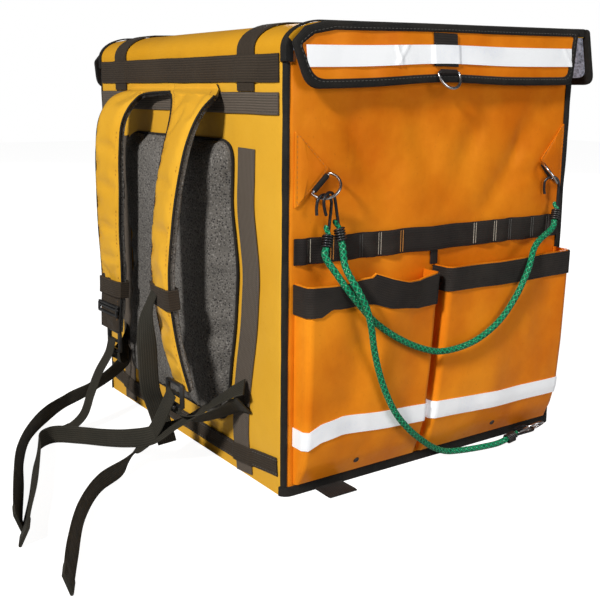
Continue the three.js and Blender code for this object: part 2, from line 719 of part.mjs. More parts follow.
const HIP_TAILS = {
  right: [
    { x: 150, y: -196, z: 59, ax: 0, ay: 0, az: 1 },
    { x: 134, y: -199, z: 57, ax: 0, ay: 0, az: 1 },
    { x: 112, y: -222, z: 41, ax: 0, ay: 0, az: 1 },
    { x: 82, y: -252, z: 36, ax: 0, ay: 0, az: 1 },
    { x: 42, y: -272, z: 27, ax: 0, ay: 0, az: 1 },
    { x: 3, y: -287, z: 17, ax: 0, ay: 0, az: 1 },
    { x: -17, y: -308, z: 13, ax: 0, ay: 0, az: 1 },
    { x: -28, y: -330, z: 11.5, ax: 0, ay: 0, az: 1 },
    { x: -27, y: -347, z: 10.5, ax: 0, ay: 0, az: 1 },
    { x: 0, y: -362, z: 9.6, ax: 0.3, ay: 0.5, az: 0.8 },
    { x: 35, y: -374, z: 4.5, ax: 0.42, ay: 0.88, az: 0.25 },
    { x: 67, y: -387, z: 1.2, ax: 0.45, ay: 0.9, az: 0 },
    { x: 125, y: -412, z: 1.2, ax: 0.42, ay: 0.9, az: 0 },
    { x: 160, y: -427, z: 1.2, ax: 0.42, ay: 0.9, az: 0 },
  ],
  left: [
    { x: -150, y: -196, z: 64, ax: 0, ay: 0, az: 1 },
    { x: -134, y: -199.5, z: 62, ax: 0, ay: 0, az: 1 },
    { x: -128, y: -222, z: 47, ax: 0.3, ay: 0, az: 0.95 },
    { x: -132, y: -250, z: 30, ax: 0.6, ay: 0, az: 0.8 },
    { x: -148, y: -275, z: 13, ax: 0.95, ay: 0.1, az: 0.3 },
    { x: -150, y: -300, z: 3, ax: 0.98, ay: 0.2, az: 0 },
    { x: -118, y: -331, z: 1.2, ax: 0.6, ay: 0.8, az: 0 },
    { x: -64, y: -362, z: 1.2, ax: 0.45, ay: 0.9, az: 0 },
    { x: 13, y: -396, z: 1.2, ax: 0.4, ay: 0.9, az: 0 },
    { x: 80, y: -421, z: 1.2, ax: 0.38, ay: 0.92, az: 0 },
    { x: 132, y: -438, z: 1.2, ax: 0.35, ay: 0.93, az: 0 },
  ],
};
const ADJUST_TAILS = {
  right: [
    { x: 104, y: -246.7, z: 84, ax: 1, ay: 0, az: 0 },
    { x: 98, y: -252, z: 62, ax: 1, ay: 0, az: 0 },
    { x: 84, y: -261, z: 40, ax: 1, ay: 0, az: 0 },
    { x: 66, y: -274, z: 18, ax: 1, ay: 0, az: 0 },
    { x: 57, y: -290, z: 4, ax: 1, ay: 0, az: 0 },
    { x: 60, y: -305, z: 1.2, ax: 0.95, ay: 0.2, az: 0 },
    { x: 72, y: -321, z: 1.2, ax: 0.8, ay: 0.6, az: 0 },
    { x: 119, y: -354, z: 1.2, ax: 0.6, ay: 0.8, az: 0 },
    { x: 171, y: -384, z: 1.2, ax: 0.5, ay: 0.87, az: 0 },
    { x: 225, y: -412, z: 1.2, ax: 0.47, ay: 0.88, az: 0 },
    { x: 253, y: -425, z: 1.2, ax: 0.45, ay: 0.9, az: 0 },
  ],
  left: [
    { x: -90, y: -238.7, z: 100, ax: 1, ay: 0, az: 0 },
    { x: -90, y: -243, z: 84, ax: 1, ay: 0, az: 0 },
    { x: -88, y: -258, z: 62, ax: 1, ay: 0, az: 0 },
    { x: -80, y: -272, z: 40, ax: 1, ay: 0, az: 0 },
    { x: -75, y: -284, z: 18, ax: 1, ay: 0, az: 0 },
    { x: -78, y: -300, z: 5, ax: 1, ay: 0, az: 0 },
    { x: -82, y: -318, z: 2.5, ax: 1, ay: 0, az: 0 },
  ],
};
const STERNUM_TAIL = [
  { x: 78, y: -264.6, z: 196, ax: 1, ay: -0.16, az: 0 },
  { x: 75, y: -268, z: 183, ax: 1, ay: -0.1, az: 0 },
  { x: 72, y: -271, z: 165, ax: 0.9, ay: 0.3, az: 0 },
  { x: 68, y: -269, z: 128, ax: 0.43, ay: 0.9, az: 0 },
  { x: 64, y: -265, z: 85, ax: 0.43, ay: 0.9, az: 0 },
  { x: 58, y: -258, z: 58, ax: 0.43, ay: 0.9, az: 0 },
  { x: 52, y: -250, z: 45, ax: 0.43, ay: 0.9, az: 0 },
];
const BAND_STEPS = 4;
for (const { side } of STRAPS) {
  add(`anchor_web_${side}`, bandRoute(ANCHORS[side], WEB, WEB_THICK, BAND_STEPS), 'webbing');
  add(`hip_tail_${side}`, bandRoute(HIP_TAILS[side], TAIL_WEB, WEB_THICK, BAND_STEPS), 'webbing');
  add(`adjust_tail_${side}`, bandRoute(ADJUST_TAILS[side], TAIL_WEB, WEB_THICK, BAND_STEPS), 'webbing');
}
add('sternum_tail', bandRoute(STERNUM_TAIL, TAIL_WEB, WEB_THICK, BAND_STEPS), 'webbing');

// Loop strip across the pocket side, sewn down at its tacks and bulging between them
const LOOP_TACKS = [-180, -160, -122, -84, -46, 30, 68, 106, 144, 180];
const LOOP_BULGE = 2.5;
const sideEnd = HALF_D - CORNER - 1;

function loopStrip() {
  const low = GAP + WEB_THICK / 2;
  const stops = [{ u: -sideEnd, lift: low }];
  LOOP_TACKS.forEach((tack, i) => {
    stops.push({ u: tack, lift: low });
    const next = LOOP_TACKS[i + 1];
    if (next !== undefined) stops.push({ u: (tack + next) / 2, lift: low + LOOP_BULGE });
  });
  stops.push({ u: sideEnd, lift: low });
  const stations = stops.map(({ u, lift }) => ({
    at: new THREE.Vector3(u, LOOP_WEB_Z, lift).applyMatrix4(FACE.right),
    across: Z.clone(),
  }));
  return ribbon(stations, WEB, WEB_THICK);
}
add('loop_strip', loopStrip(), 'webbing');

// Pockets: two box pockets, open at the top, each with gussets and a black band round its mouth

// How far the pocket front stands off the face at each height
const POCKET_DEPTH = [
  { z: 12, out: 5 },
  { z: 30, out: 14 },
  { z: 55, out: 20 },
  { z: 110, out: 23 },
  { z: 180, out: 24 },
];
const POCKETS = {
  left: {
    edges: [{ low: -181.5, high: -181.5 }, { low: -28.5, high: -18.5 }],
    mouth: { start: 210, end: 206, sag: 4 },
    stripe: { start: 53.5, end: 62 },
  },
  right: {
    edges: [{ low: -22.5, high: -6 }, { low: 180, high: 181.5 }],
    mouth: { start: 212, end: 215, sag: 2 },
    stripe: { start: 57, end: 55.5 },
  },
};
const POCKET_SHARES = [0, 0.09, 0.22, 0.5, 0.86, 1];
const POCKET_CHAMFER = 4;
const POCKET_COLUMNS = [
  { share: 0, reach: 0, side: -1, out: 0 },
  { share: 0, reach: 1, side: -1, out: 0.4, back: 1 },
  { share: 0, reach: 1, side: -0.4, out: 1, inward: 1 },
  { share: 0.25, reach: 1, side: 0, out: 1 },
  { share: 0.5, reach: 1, side: 0, out: 1 },
  { share: 0.75, reach: 1, side: 0, out: 1 },
  { share: 1, reach: 1, side: 0.4, out: 1, inward: -1 },
  { share: 1, reach: 1, side: 1, out: 0.4, back: 1 },
  { share: 1, reach: 0, side: 1, out: 0 },
];

function pocketMouth({ mouth }, share) {
  return THREE.MathUtils.lerp(mouth.start, mouth.end, share) - mouth.sag * Math.sin(share * Math.PI);
}

// A point on a pocket's wall, in a column of the plan and at a height, moved out by an offset
function pocketPoint(pocket, column, z, offset) {
  const depth = interpolate(POCKET_DEPTH, 'z', z, 'out');
  const chamfer = Math.min(POCKET_CHAMFER, depth * 0.4);
  const edge = ({ low, high }) => THREE.MathUtils.lerp(low, high, z / POCKET_TOP_Z);
  const y = THREE.MathUtils.lerp(edge(pocket.edges[0]), edge(pocket.edges[1]), column.share);
  const out = column.reach ? depth - (column.back ? chamfer : 0) + column.out * offset : GAP;
  return new THREE.Vector3(
    HALF_W + out,
    y + (column.inward ?? 0) * chamfer + column.side * offset,
    z,
  );
}

function pocketWall(pocket) {
  const grid = (offset) => POCKET_SHARES.map((rise) => POCKET_COLUMNS.map((column) => {
    const z = THREE.MathUtils.lerp(POCKET_LOW_Z, pocketMouth(pocket, column.share), rise);
    return pocketPoint(pocket, column, z, offset);
  }));
  return slab(grid(-POCKET_WALL), grid(0));
}

// Tape round the outside of a pocket, through levels that are functions of the place along it
function pocketTape(pocket, levels, thickness) {
  const grid = (offset) => levels.map((level) => POCKET_COLUMNS.map((column) => (
    pocketPoint(pocket, column, level(column.share), offset))));
  return slab(grid(GAP), grid(GAP + thickness));
}

for (const [name, pocket] of Object.entries(POCKETS)) {
  add(`pocket_${name}`, pocketWall(pocket), 'cover');
  const top = (share) => pocketMouth(pocket, share) - 1;
  const band = pocketTape(pocket, [(share) => top(share) - BAND, top], WEB_THICK);
  add(`pocket_band_${name}`, band, 'webbing');
  const line = (share) => THREE.MathUtils.lerp(pocket.stripe.start, pocket.stripe.end, share);
  const knee = (share) => THREE.MathUtils.lerp(POCKET_LOW_Z, pocketMouth(pocket, share), POCKET_SHARES[2]);
  const stripeLevels = [(s) => line(s) - TAPE / 2, knee, (s) => line(s) + TAPE / 2];
  add(`pocket_stripe_${name}`, pocketTape(pocket, stripeLevels, TAPE_THICK), 'tape');
}
const dividerTop = LOOP_WEB_Z - WEB / 2 - GAP;
add('pocket_divider', plate('right', rectangle(-12.5, 214, -2.5, dividerTop), GAP, WEB_THICK), 'webbing');

// D-rings: a straight bar and a round bow

function ringWire(centre, bar, bow, shoulder) {
  const [cut, arcSteps] = [2, 8];
  const flat = [[-RING_HALF + cut, 0], [RING_HALF - cut, 0], [RING_HALF, cut]];
  for (let i = 0; i <= arcSteps; i++) {
    const turn = (i / arcSteps) * Math.PI;
    flat.push([RING_HALF * Math.cos(turn), shoulder + RING_HALF * Math.sin(turn)]);
  }
  flat.push([-RING_HALF, cut]);
  const path = flat.map(([a, b]) => centre.clone().addScaledVector(bar, a).addScaledVector(bow, b));
  const normal = new THREE.Vector3().crossVectors(bar, bow).normalize();
  return wireLoop(path, normal, RING_WIRE, 6);
}

// Patches in the upper corners of the pocket side hold a ring along their slanted edge
const PATCHES = {
  left: [[-183, 352], [-144, 317], [-169, 294], [-183, 281]],
  right: [[183, 356], [147, 316], [170, 293], [183, 283]],
};
const RING_TILT = THREE.MathUtils.degToRad(60);
const PATCH_THICK = 1.2;
for (const [side, outline] of Object.entries(PATCHES)) {
  add(`ring_patch_${side}`, plate('right', outline, GAP, PATCH_THICK), 'cover');
  const [upper, lower] = [outline[1], outline[2]].map(([y, z]) => new THREE.Vector3(HALF_W, y, z));
  const bar = upper.clone().sub(lower).normalize();
  const sign = side === 'left' ? 1 : -1;
  const away = new THREE.Vector3(0, sign * bar.z, -sign * bar.y);
  const centre = upper.clone().add(lower).multiplyScalar(0.5).addScaledVector(away, RING_WIRE + GAP);
  centre.x += RING_WIRE + 2 * GAP;
  const bow = away.clone().multiplyScalar(Math.cos(RING_TILT)).addScaledVector(X, Math.sin(RING_TILT));
  add(`d_ring_${side}`, ringWire(centre, bar, bow, RING_SHOULDER), 'steel');
}

// Stripe, tab and ring on the pocket side's flap

const flapFace = GAP + FLAP_THICK;
const FLAP_TAB = { middle: -10, low: 408.3, high: 442 };
const FLAP_STRIPE = { start: -166, startZ: 416.5, end: 193, endZ: 425 };

function flapOut(z) {
  return (FLAP_LEAN * Math.max(0, LID_FRONT_Z - z)) / FLAP_DROP;
}

function flapStripe() {
  const { start, end, startZ, endZ } = FLAP_STRIPE;
  const half = LOAD_WEB / 2;
  const [low, raised] = [0, WEB_THICK + GAP];
  const stops = [
    { u: start, lift: low },
    { u: FLAP_TAB.middle - half - 5, lift: low },
    { u: FLAP_TAB.middle - half - 1, lift: raised },
    { u: FLAP_TAB.middle + half + 1, lift: raised },
    { u: FLAP_TAB.middle + half + 5, lift: low },
    { u: end, lift: low },
  ];
  const across = new THREE.Vector3(-FLAP_LEAN / FLAP_DROP, 0, 1).normalize();
  const stations = stops.map(({ u, lift }) => {
    const z = THREE.MathUtils.mapLinear(u, start, end, startZ, endZ);
    const out = flapFace + GAP + TAPE_THICK / 2 + lift + flapOut(z);
    return { at: new THREE.Vector3(HALF_W + out, u, z), across: across.clone() };
  });
  return ribbon(stations, TAPE, TAPE_THICK);
}
add('flap_stripe', flapStripe(), 'tape');

const tabHalf = LOAD_WEB / 2;
const tabOutline = rectangle(FLAP_TAB.middle - tabHalf, FLAP_TAB.low, FLAP_TAB.middle + tabHalf, FLAP_TAB.high);
add('flap_ring_tab', flapPlate('right', tabOutline, flapFace + GAP, WEB_THICK, FLAP_LEAN), 'webbing');

const FLAP_RING_TILT = THREE.MathUtils.degToRad(25);
const flapRingZ = FLAP_TAB.low - RING_WIRE - GAP;
const flapRingX = HALF_W + flapFace + flapOut(flapRingZ) + RING_WIRE + GAP;
add('d_ring_flap', ringWire(
  new THREE.Vector3(flapRingX, FLAP_TAB.middle + 2, flapRingZ),
  Y,
  new THREE.Vector3(Math.sin(FLAP_RING_TILT), 0, -Math.cos(FLAP_RING_TILT)),
  FLAP_RING_SHOULDER,
), 'steel');

// Tabs at the foot of the pocket side, and the ring that holds the long cord

function baseTab(y0, y1, x1) {
  const x0 = HALF_W + 2 * GAP + EDGE_TAPE_THICK;
  const tab = new THREE.BoxGeometry(x1 - x0, y1 - y0, 2);
  return tab.translate((x0 + x1) / 2, (y0 + y1) / 2, 1 + GAP);
}
const BASE_RING = { x: 216, y: 146, z: 3, tilt: THREE.MathUtils.degToRad(40) };
add('base_tab_left', baseTab(-156, -123, 233), 'webbing');
add('base_tab_right', baseTab(BASE_RING.y - 12, BASE_RING.y + 12, BASE_RING.x - RING_WIRE - GAP), 'webbing');
add('d_ring_base', ringWire(
  new THREE.Vector3(BASE_RING.x, BASE_RING.y, BASE_RING.z),
  Y,
  new THREE.Vector3(Math.cos(BASE_RING.tilt), 0, Math.sin(BASE_RING.tilt)),
  RING_SHOULDER,
), 'steel');

// Hooks: a bent wire whose shank ends in a bound sleeve that grips the cord

const HOOK_BEND = 8.2; // radius of the bend, to the middle of the wire
const HOOK_TIP = 11;
const HOOK_SHANK = 28;
const SLEEVE = { radius: 5, length: 13 };
// Middle of the bend, then the ways from shank to tip, down the shank and along the cord
const HOOKS = {
  a_left: { at: [218.7, -158.7, 286.4], tip: [0, -0.995, 0.105], down: [0, -0.105, -0.995], cord: [3, -4.5, -13] },
  b_left: {
    at: [221.7, -155.2, 288.5],
    tip: [0.251, -0.937, -0.242],
    down: [-0.063, 0.234, -0.97],
    cord: [4, 1, -15],
  },
  a_right: { at: [212.7, 160.1, 288.6], tip: [-0.5, -0.866, 0], down: [0, 0, -1], cord: [2, -5, -12] },
  b_right: { at: [223.1, 133.4, 9], tip: [-1, 0, 0], down: [0, -1, 0], cord: [-1, -12, -3.5] },
};

function hookFrame({ at, tip, down, cord }) {
  const [middle, aside, fall, pull] = [at, tip, down, cord].map((v) => new THREE.Vector3(...v));
  const shankEnd = middle.clone().addScaledVector(aside, -HOOK_BEND).addScaledVector(fall, HOOK_SHANK);
  const grip = shankEnd.clone().addScaledVector(pull.normalize(), SLEEVE.length);
  return { middle, aside, fall, pull, shankEnd, grip };
}

function hook(place) {
  const { middle, aside, fall, pull, shankEnd, grip } = hookFrame(place);
  const at = (a, b) => middle.clone().addScaledVector(aside, a).addScaledVector(fall, b);
  const route = [at(HOOK_BEND - 1, HOOK_TIP), at(HOOK_BEND, HOOK_TIP / 2)];
  const bendSteps = 6;
  for (let i = 0; i <= bendSteps; i++) {
    const turn = (i / bendSteps) * Math.PI;
    route.push(at(HOOK_BEND * Math.cos(turn), -HOOK_BEND * Math.sin(turn)));
  }
  route.push(at(-HOOK_BEND, HOOK_SHANK / 2), shankEnd, shankEnd.clone().addScaledVector(pull, SLEEVE.length / 2));
  const wire = tube(route, HOOK_WIRE, 7, 22);
  const sleeve = tube([shankEnd, grip], SLEEVE.radius, 10, 1);
  return fuse(wire, sleeve);
}
for (const [name, place] of Object.entries(HOOKS)) add(`hook_${name}`, hook(place), 'wire');

// Elastic cords between the hooks: routes over the pockets, as they hang

function cordEnd(name) {
  const { grip, pull } = hookFrame(HOOKS[name]);
  return [grip.clone().addScaledVector(pull, GAP), grip.clone().addScaledVector(pull, CORD)];
}
const CORD_A = [
  [230, -150, 220],
  [237, -136, 199],
  [236.5, -113, 175],
  [236.5, -90, 158],
  [236.5, -63, 143],
  [236.5, -38, 133],
  [236, -22, 129],
  [236, 7, 129],
  [236, 35, 135],
  [236, 64, 150],
  [236.5, 86, 173],
  [237.5, 102, 201],
  [230, 120, 225],
];
const CORD_B = [
  [232, -143, 228],
  [244, -136, 206],
  [246, -128, 190],
  [245, -121, 171],
  [240, -112, 145],
  [236.5, -101, 117],
  [236, -90, 93],
  [235, -76, 71],
  [233, -56, 50],
  [228, -33, 32],
  [223, -12, 18],
  [220, 9, 8],
  [221, 28, 4.8],
  [225, 45, 4.6],
  [228, 62, 4.6],
  [229.5, 78, 4.6],
];

function cord(points, start, end, steps) {
  const middle = points.map((p) => new THREE.Vector3(...p));
  return tube([...cordEnd(start), ...middle, ...cordEnd(end).reverse()], CORD / 2, 8, steps);
}
add('bungee_a', cord(CORD_A, 'a_left', 'a_right', 30), 'cord');
add('bungee_b', cord(CORD_B, 'b_left', 'b_right', 34), 'cord');

export default bag;
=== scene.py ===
# %% [markdown]
# # An insulated delivery backpack
#
# The bag is a foam-walled box in coated cloth, with a lid that hangs down in flaps, padded straps,
# webbing, reflective tape, two box pockets and two elastic cords on hooks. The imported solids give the
# main sizes and places, and details follow the photograph. Each cell below dresses one group of pieces in
# that frame. Numbers are in millimetres until a mesh is made.

import math

import bmesh
import bpy
import numpy as np
from mathutils import Matrix, Vector, noise


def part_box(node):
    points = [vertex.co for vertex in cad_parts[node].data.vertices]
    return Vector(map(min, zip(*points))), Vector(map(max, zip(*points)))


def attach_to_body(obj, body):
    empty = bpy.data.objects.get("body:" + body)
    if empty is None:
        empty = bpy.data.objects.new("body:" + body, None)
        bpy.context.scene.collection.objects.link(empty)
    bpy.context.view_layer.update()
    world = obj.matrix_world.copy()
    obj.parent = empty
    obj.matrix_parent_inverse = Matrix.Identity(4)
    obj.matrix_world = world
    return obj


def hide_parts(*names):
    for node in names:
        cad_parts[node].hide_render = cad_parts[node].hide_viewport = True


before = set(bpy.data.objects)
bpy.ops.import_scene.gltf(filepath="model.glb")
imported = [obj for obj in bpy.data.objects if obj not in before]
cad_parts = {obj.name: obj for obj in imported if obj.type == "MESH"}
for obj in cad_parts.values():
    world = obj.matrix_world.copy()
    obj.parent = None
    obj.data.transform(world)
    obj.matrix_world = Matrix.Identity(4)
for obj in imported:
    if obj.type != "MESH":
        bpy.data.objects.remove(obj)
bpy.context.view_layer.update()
MM = 0.001
BODY = "root"
GAP = 0.35  # clearance between pieces that are sewn or rest together


def node_box(name):
    """Lowest and highest corner of a CAD node, in millimetres."""
    low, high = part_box(name)
    return np.array(low) / MM, np.array(high) / MM


HALF_W, HALF_D = node_box("body_shell")[1][:2]
print("half width", round(HALF_W, 1), "half depth", round(HALF_D, 1))

# %% [markdown]
# ## Camera
#
# The camera was solved from the straight edges of the box in the photograph. It stands off one upright
# corner, a little above the lid, and it is turned by half a degree. Its axes are built from those angles,
# because a camera looks down its own -Z axis and the three axes are then the columns of its matrix.

# %% Camera
PHOTO_PIXELS = 600
SENSOR = 36.0
EYE = (883.8, -651.1, 385.0)
AZIMUTH, ELEVATION, ROLL = (math.radians(a) for a in (54.96, 12.87, 0.6))
FOCAL_PIXELS = 907.57

back = Vector((
    math.sin(AZIMUTH) * math.cos(ELEVATION),
    -math.cos(AZIMUTH) * math.cos(ELEVATION),
    math.sin(ELEVATION),
))
level = Vector((math.cos(AZIMUTH), math.sin(AZIMUTH), 0))
upright = back.cross(level)
right = level * math.cos(ROLL) + upright * math.sin(ROLL)
up = upright * math.cos(ROLL) - level * math.sin(ROLL)
lens = bpy.data.cameras.new("photo_camera")
lens.sensor_width = SENSOR
lens.lens = FOCAL_PIXELS / PHOTO_PIXELS * SENSOR
camera = bpy.data.objects.new("photo_camera", lens)
camera.matrix_world = Matrix.Translation(Vector(EYE) * MM) @ Matrix((right, up, back)).transposed().to_4x4()
bpy.context.collection.objects.link(camera)
bpy.context.scene.camera = camera
print("lens", round(lens.lens, 2), "mm")

# %% [markdown]
# ## Shader tools
#
# A small helper adds nodes and links them in one call. The effects that several finishes share are node
# groups: woven ribs for webbing and tape, soft patches for wear and dust and for the coated cloth's painted
# sheen, and a fine cloth grid under a coating.

# %% Shader tools


class Graph:
    """Adds nodes to a tree. A socket given as an input is linked, and any other value is set."""

    def __init__(self, tree):
        self.tree = tree

    def node(self, kind, inputs=None, **settings):
        made = self.tree.nodes.new(kind)
        for key, value in settings.items():
            setattr(made, key, value)
        for key, value in (inputs or {}).items():
            if isinstance(value, bpy.types.NodeSocket):
                self.tree.links.new(value, made.inputs[key])
            else:
                made.inputs[key].default_value = value
        return made

    def math(self, operation, *values):
        return self.node("ShaderNodeMath", dict(enumerate(values)), operation=operation).outputs[0]

    def blend(self, share, first, second):
        """Mixes two colours."""
        made = self.node("ShaderNodeMix", {0: share, 6: first, 7: second}, data_type="RGBA")
        return made.outputs[2]

    def ramp(self, value, low, high, to_low=0.0, to_high=1.0):
        """Maps a range of values to another one and holds the ends."""
        made = self.node("ShaderNodeMapRange", {
            "Value": value, "From Min": low, "From Max": high, "To Min": to_low, "To Max": to_high,
        })
        return made.outputs[0]

    def noise(self, place, scale, detail=3.0, roughness=0.5):
        made = self.node("ShaderNodeTexNoise", {
            "Vector": place, "Scale": scale, "Detail": detail, "Roughness": roughness,
        })
        return made.outputs["Fac"]


def shader_group(name, inputs, outputs):
    """An empty node group with float sockets and a vector input named Place."""
    tree = bpy.data.node_groups.new(name, "ShaderNodeTree")
    tree.interface.new_socket("Place", in_out="INPUT", socket_type="NodeSocketVector")
    for label, value in inputs.items():
        socket = tree.interface.new_socket(label, in_out="INPUT", socket_type="NodeSocketFloat")
        socket.default_value = value
    for label in outputs:
        tree.interface.new_socket(label, in_out="OUTPUT", socket_type="NodeSocketFloat")
    graph = Graph(tree)
    return graph, graph.node("NodeGroupInput").outputs, graph.node("NodeGroupOutput").inputs


TURN = 2 * math.pi


def woven_ribs():
    """Ribs along a band with threads that pass over and under between them."""
    graph, given, result = shader_group("Woven ribs", {"Rib": 2.2, "Thread": 1.8}, ("Height", "Shade"))
    place = graph.node("ShaderNodeSeparateXYZ", {0: given["Place"]}).outputs
    rib = graph.math("SINE", graph.math("DIVIDE", graph.math("MULTIPLY", place[1], TURN), given["Rib"]))
    step = graph.math("MULTIPLY", graph.math("GREATER_THAN", rib, 0.0), math.pi)
    along = graph.math("DIVIDE", graph.math("MULTIPLY", place[0], TURN), given["Thread"])
    pick = graph.math("SINE", graph.math("ADD", along, step))
    height = graph.math("MULTIPLY_ADD", rib, 0.22, graph.math("MULTIPLY_ADD", pick, 0.28, 0.5))
    graph.tree.links.new(height, result["Height"])
    graph.tree.links.new(graph.noise(given["Place"], 0.09, 4.0), result["Shade"])
    return graph.tree


def wear_and_sheen_patches():
    """Soft patches, for wear, fading and dust, and for painted sheen on the coated cloth."""
    inputs = {"Scale": 8.0, "Low": 0.4, "High": 0.7}
    graph, given, result = shader_group("Wear and sheen patches", inputs, ("Mask", "Grain"))
    broad = graph.noise(given["Place"], given["Scale"], 5.0, 0.6)
    graph.tree.links.new(graph.ramp(broad, given["Low"], given["High"]), result["Mask"])
    fine = graph.noise(given["Place"], graph.math("MULTIPLY", given["Scale"], 45.0), 2.0)
    graph.tree.links.new(fine, result["Grain"])
    return graph.tree


def cloth_grid():
    """The base cloth that shows through a coating, on any face."""
    graph, given, result = shader_group("Cloth grid", {"Threads": 700.0}, ("Height",))
    place = graph.node("ShaderNodeSeparateXYZ", {0: given["Place"]}).outputs
    pace = graph.math("MULTIPLY", given["Threads"], TURN)
    waves = [graph.math("SINE", graph.math("MULTIPLY", p, pace)) for p in place]
    total = graph.math("ADD", graph.math("ADD", waves[0], waves[1]), waves[2])
    graph.tree.links.new(total, result["Height"])
    return graph.tree


RIBS, WEAR_AND_SHEEN, GRID = woven_ribs(), wear_and_sheen_patches(), cloth_grid()
print("groups:", RIBS.name, WEAR_AND_SHEEN.name, GRID.name)

# %% [markdown]
# ## Finishes
#
# The cover is cloth coated with coloured plastic: smooth, a little glossy, with a faint grid and soft
# crumples. Its broad lighter patches on the pocket side are painted sheen; the back panel's copy of the
# cloth is yellower, as painted light, and the lid's copy darker, as painted shade. Webbing, tape, spacer
# mesh, reflective tape, foil, moulded plastic, plated steel, black wire and braided cord each get their
# own nodes. Patterns that follow a band or cord read its UV map, which holds millimetres.

# %% Finishes


class Finish:
    """A material with one Principled shader; constants go straight to its sockets."""

    def __init__(self, name, **constants):
        self.material = bpy.data.materials.new(name)
        self.material.use_nodes = True
        self.graph = Graph(self.material.node_tree)
        self.shader = self.material.node_tree.nodes["Principled BSDF"]
        for socket, value in constants.items():
            self.shader.inputs[socket.replace("_", " ")].default_value = value
        coordinates = self.graph.node("ShaderNodeTexCoord").outputs
        self.place = coordinates["Object"]
        self.surface = coordinates["UV"]

    def group(self, tree, place, **values):
        made = self.graph.node("ShaderNodeGroup", node_tree=tree)
        self.graph.tree.links.new(place, made.inputs["Place"])
        for label, value in values.items():
            made.inputs[label].default_value = value
        return made.outputs

    def feed(self, **sockets):
        for label, socket in sockets.items():
            self.graph.tree.links.new(socket, self.shader.inputs[label.replace("_", " ")])

    def bump(self, *layers):
        """Bump layers of height, strength and distance in millimetres, one over the other."""
        normal = None
        for height, strength, distance in layers:
            inputs = {"Height": height, "Strength": strength, "Distance": distance * MM}
            if normal:
                inputs["Normal"] = normal
            normal = self.graph.node("ShaderNodeBump", inputs).outputs[0]
        self.feed(Normal=normal)


def coated_cloth(name, plain, bright, shade, dent, gloss):
    """Cloth under a coloured coating; dent is the depth of its soft dents in millimetres."""
    coating = {"Specular_Tint": (1.0, 0.6, 0.2, 1), "Coat_Weight": 0.03, "Coat_Roughness": 0.25}
    made = Finish(name, Specular_IOR_Level=gloss, **coating)
    patches = made.group(WEAR_AND_SHEEN, made.place, Scale=8.0, Low=0.36, High=0.68)
    grid = made.group(GRID, made.place, Threads=620.0)
    # Bright patches: on the side cloth they are painted sheen, elsewhere a slight tone of the cloth.
    colour = made.graph.blend(patches["Mask"], (*plain, 1), (*bright, 1))
    specks = made.graph.ramp(patches["Grain"], 0.66, 0.78)
    colour = made.graph.blend(made.graph.math("MULTIPLY", specks, 0.25), colour, (*shade, 1))
    made.feed(Base_Color=colour, Roughness=made.graph.ramp(patches["Grain"], 0.3, 0.7, 0.3, 0.42))
    crumple = made.graph.noise(made.place, 26.0, 3.0, 0.45)
    dents = made.graph.noise(made.place, 9.0, 2.0, 0.4)
    made.bump((dents, 0.6, dent), (crumple, 0.4, 2.8), (grid["Height"], 0.06, 0.12))
    return made.material


def webbing_finish(name, dark, pale, rib, thread):
    made = Finish(name, Sheen_Weight=0.05, Sheen_Roughness=0.4, Specular_IOR_Level=0.25)
    weave = made.group(RIBS, made.surface, Rib=rib, Thread=thread)
    dust = made.group(WEAR_AND_SHEEN, made.place, Scale=16.0, Low=0.42, High=0.8)
    # Low threads of the weave are darker than raised ones: painted shade in the dips of the weave.
    raised = made.graph.ramp(weave["Height"], 0.2, 0.9)
    colour = made.graph.blend(raised, (*dark, 1), (*pale, 1))
    dusty = made.graph.math("MULTIPLY", dust["Mask"], 0.25)
    colour = made.graph.blend(dusty, colour, (0.085, 0.068, 0.05, 1))
    made.feed(Base_Color=colour, Roughness=made.graph.ramp(weave["Shade"], 0.3, 0.7, 0.62, 0.85))
    made.bump((weave["Height"], 0.7, 0.5))
    return made.material


def spacer_mesh():
    made = Finish("spacer_mesh", Sheen_Weight=0.08, Sheen_Roughness=0.5, Specular_IOR_Level=0.2)
    spread = {"Vector": made.place, "Scale": 360.0, "Randomness": 0.75}
    cells = made.graph.node("ShaderNodeTexVoronoi", spread)
    # The holes are near black: painted shade inside the open mesh.
    hole = made.graph.ramp(cells.outputs["Distance"], 0.12, 0.42, 1.0, 0.0)
    fade = made.group(WEAR_AND_SHEEN, made.place, Scale=14.0, Low=0.3, High=0.75)
    yarn = made.graph.blend(fade["Mask"], (0.105, 0.098, 0.09, 1), (0.155, 0.145, 0.135, 1))
    yarn = made.graph.blend(made.graph.ramp(fade["Grain"], 0.55, 0.75), yarn, (0.3, 0.285, 0.27, 1))
    colour = made.graph.blend(hole, yarn, (0.012, 0.011, 0.014, 1))
    made.feed(Base_Color=colour, Roughness=made.graph.ramp(fade["Grain"], 0.3, 0.7, 0.8, 0.95))
    made.bump((cells.outputs["Distance"], 0.8, 1.0))
    return made.material


def reflective_tape():
    # The tape glows a little: painted light for the shine that reflective tape sends back.
    made = Finish("reflective_tape", Emission_Strength=0.2, Coat_Weight=0.2, Coat_Roughness=0.15)
    beads = made.graph.node("ShaderNodeTexVoronoi", {"Vector": made.place, "Scale": 900.0})
    scuffs = made.group(WEAR_AND_SHEEN, made.place, Scale=12.0, Low=0.5, High=0.8)
    colour = made.graph.blend(scuffs["Mask"], (0.86, 0.88, 0.91, 1), (0.66, 0.69, 0.76, 1))
    made.feed(Base_Color=colour, Emission_Color=colour)
    made.feed(Roughness=made.graph.ramp(scuffs["Grain"], 0.3, 0.7, 0.25, 0.4))
    made.bump((made.graph.noise(made.place, 35.0, 2.0), 0.3, 1.5), (beads.outputs["Distance"], 0.15, 0.2))
    return made.material


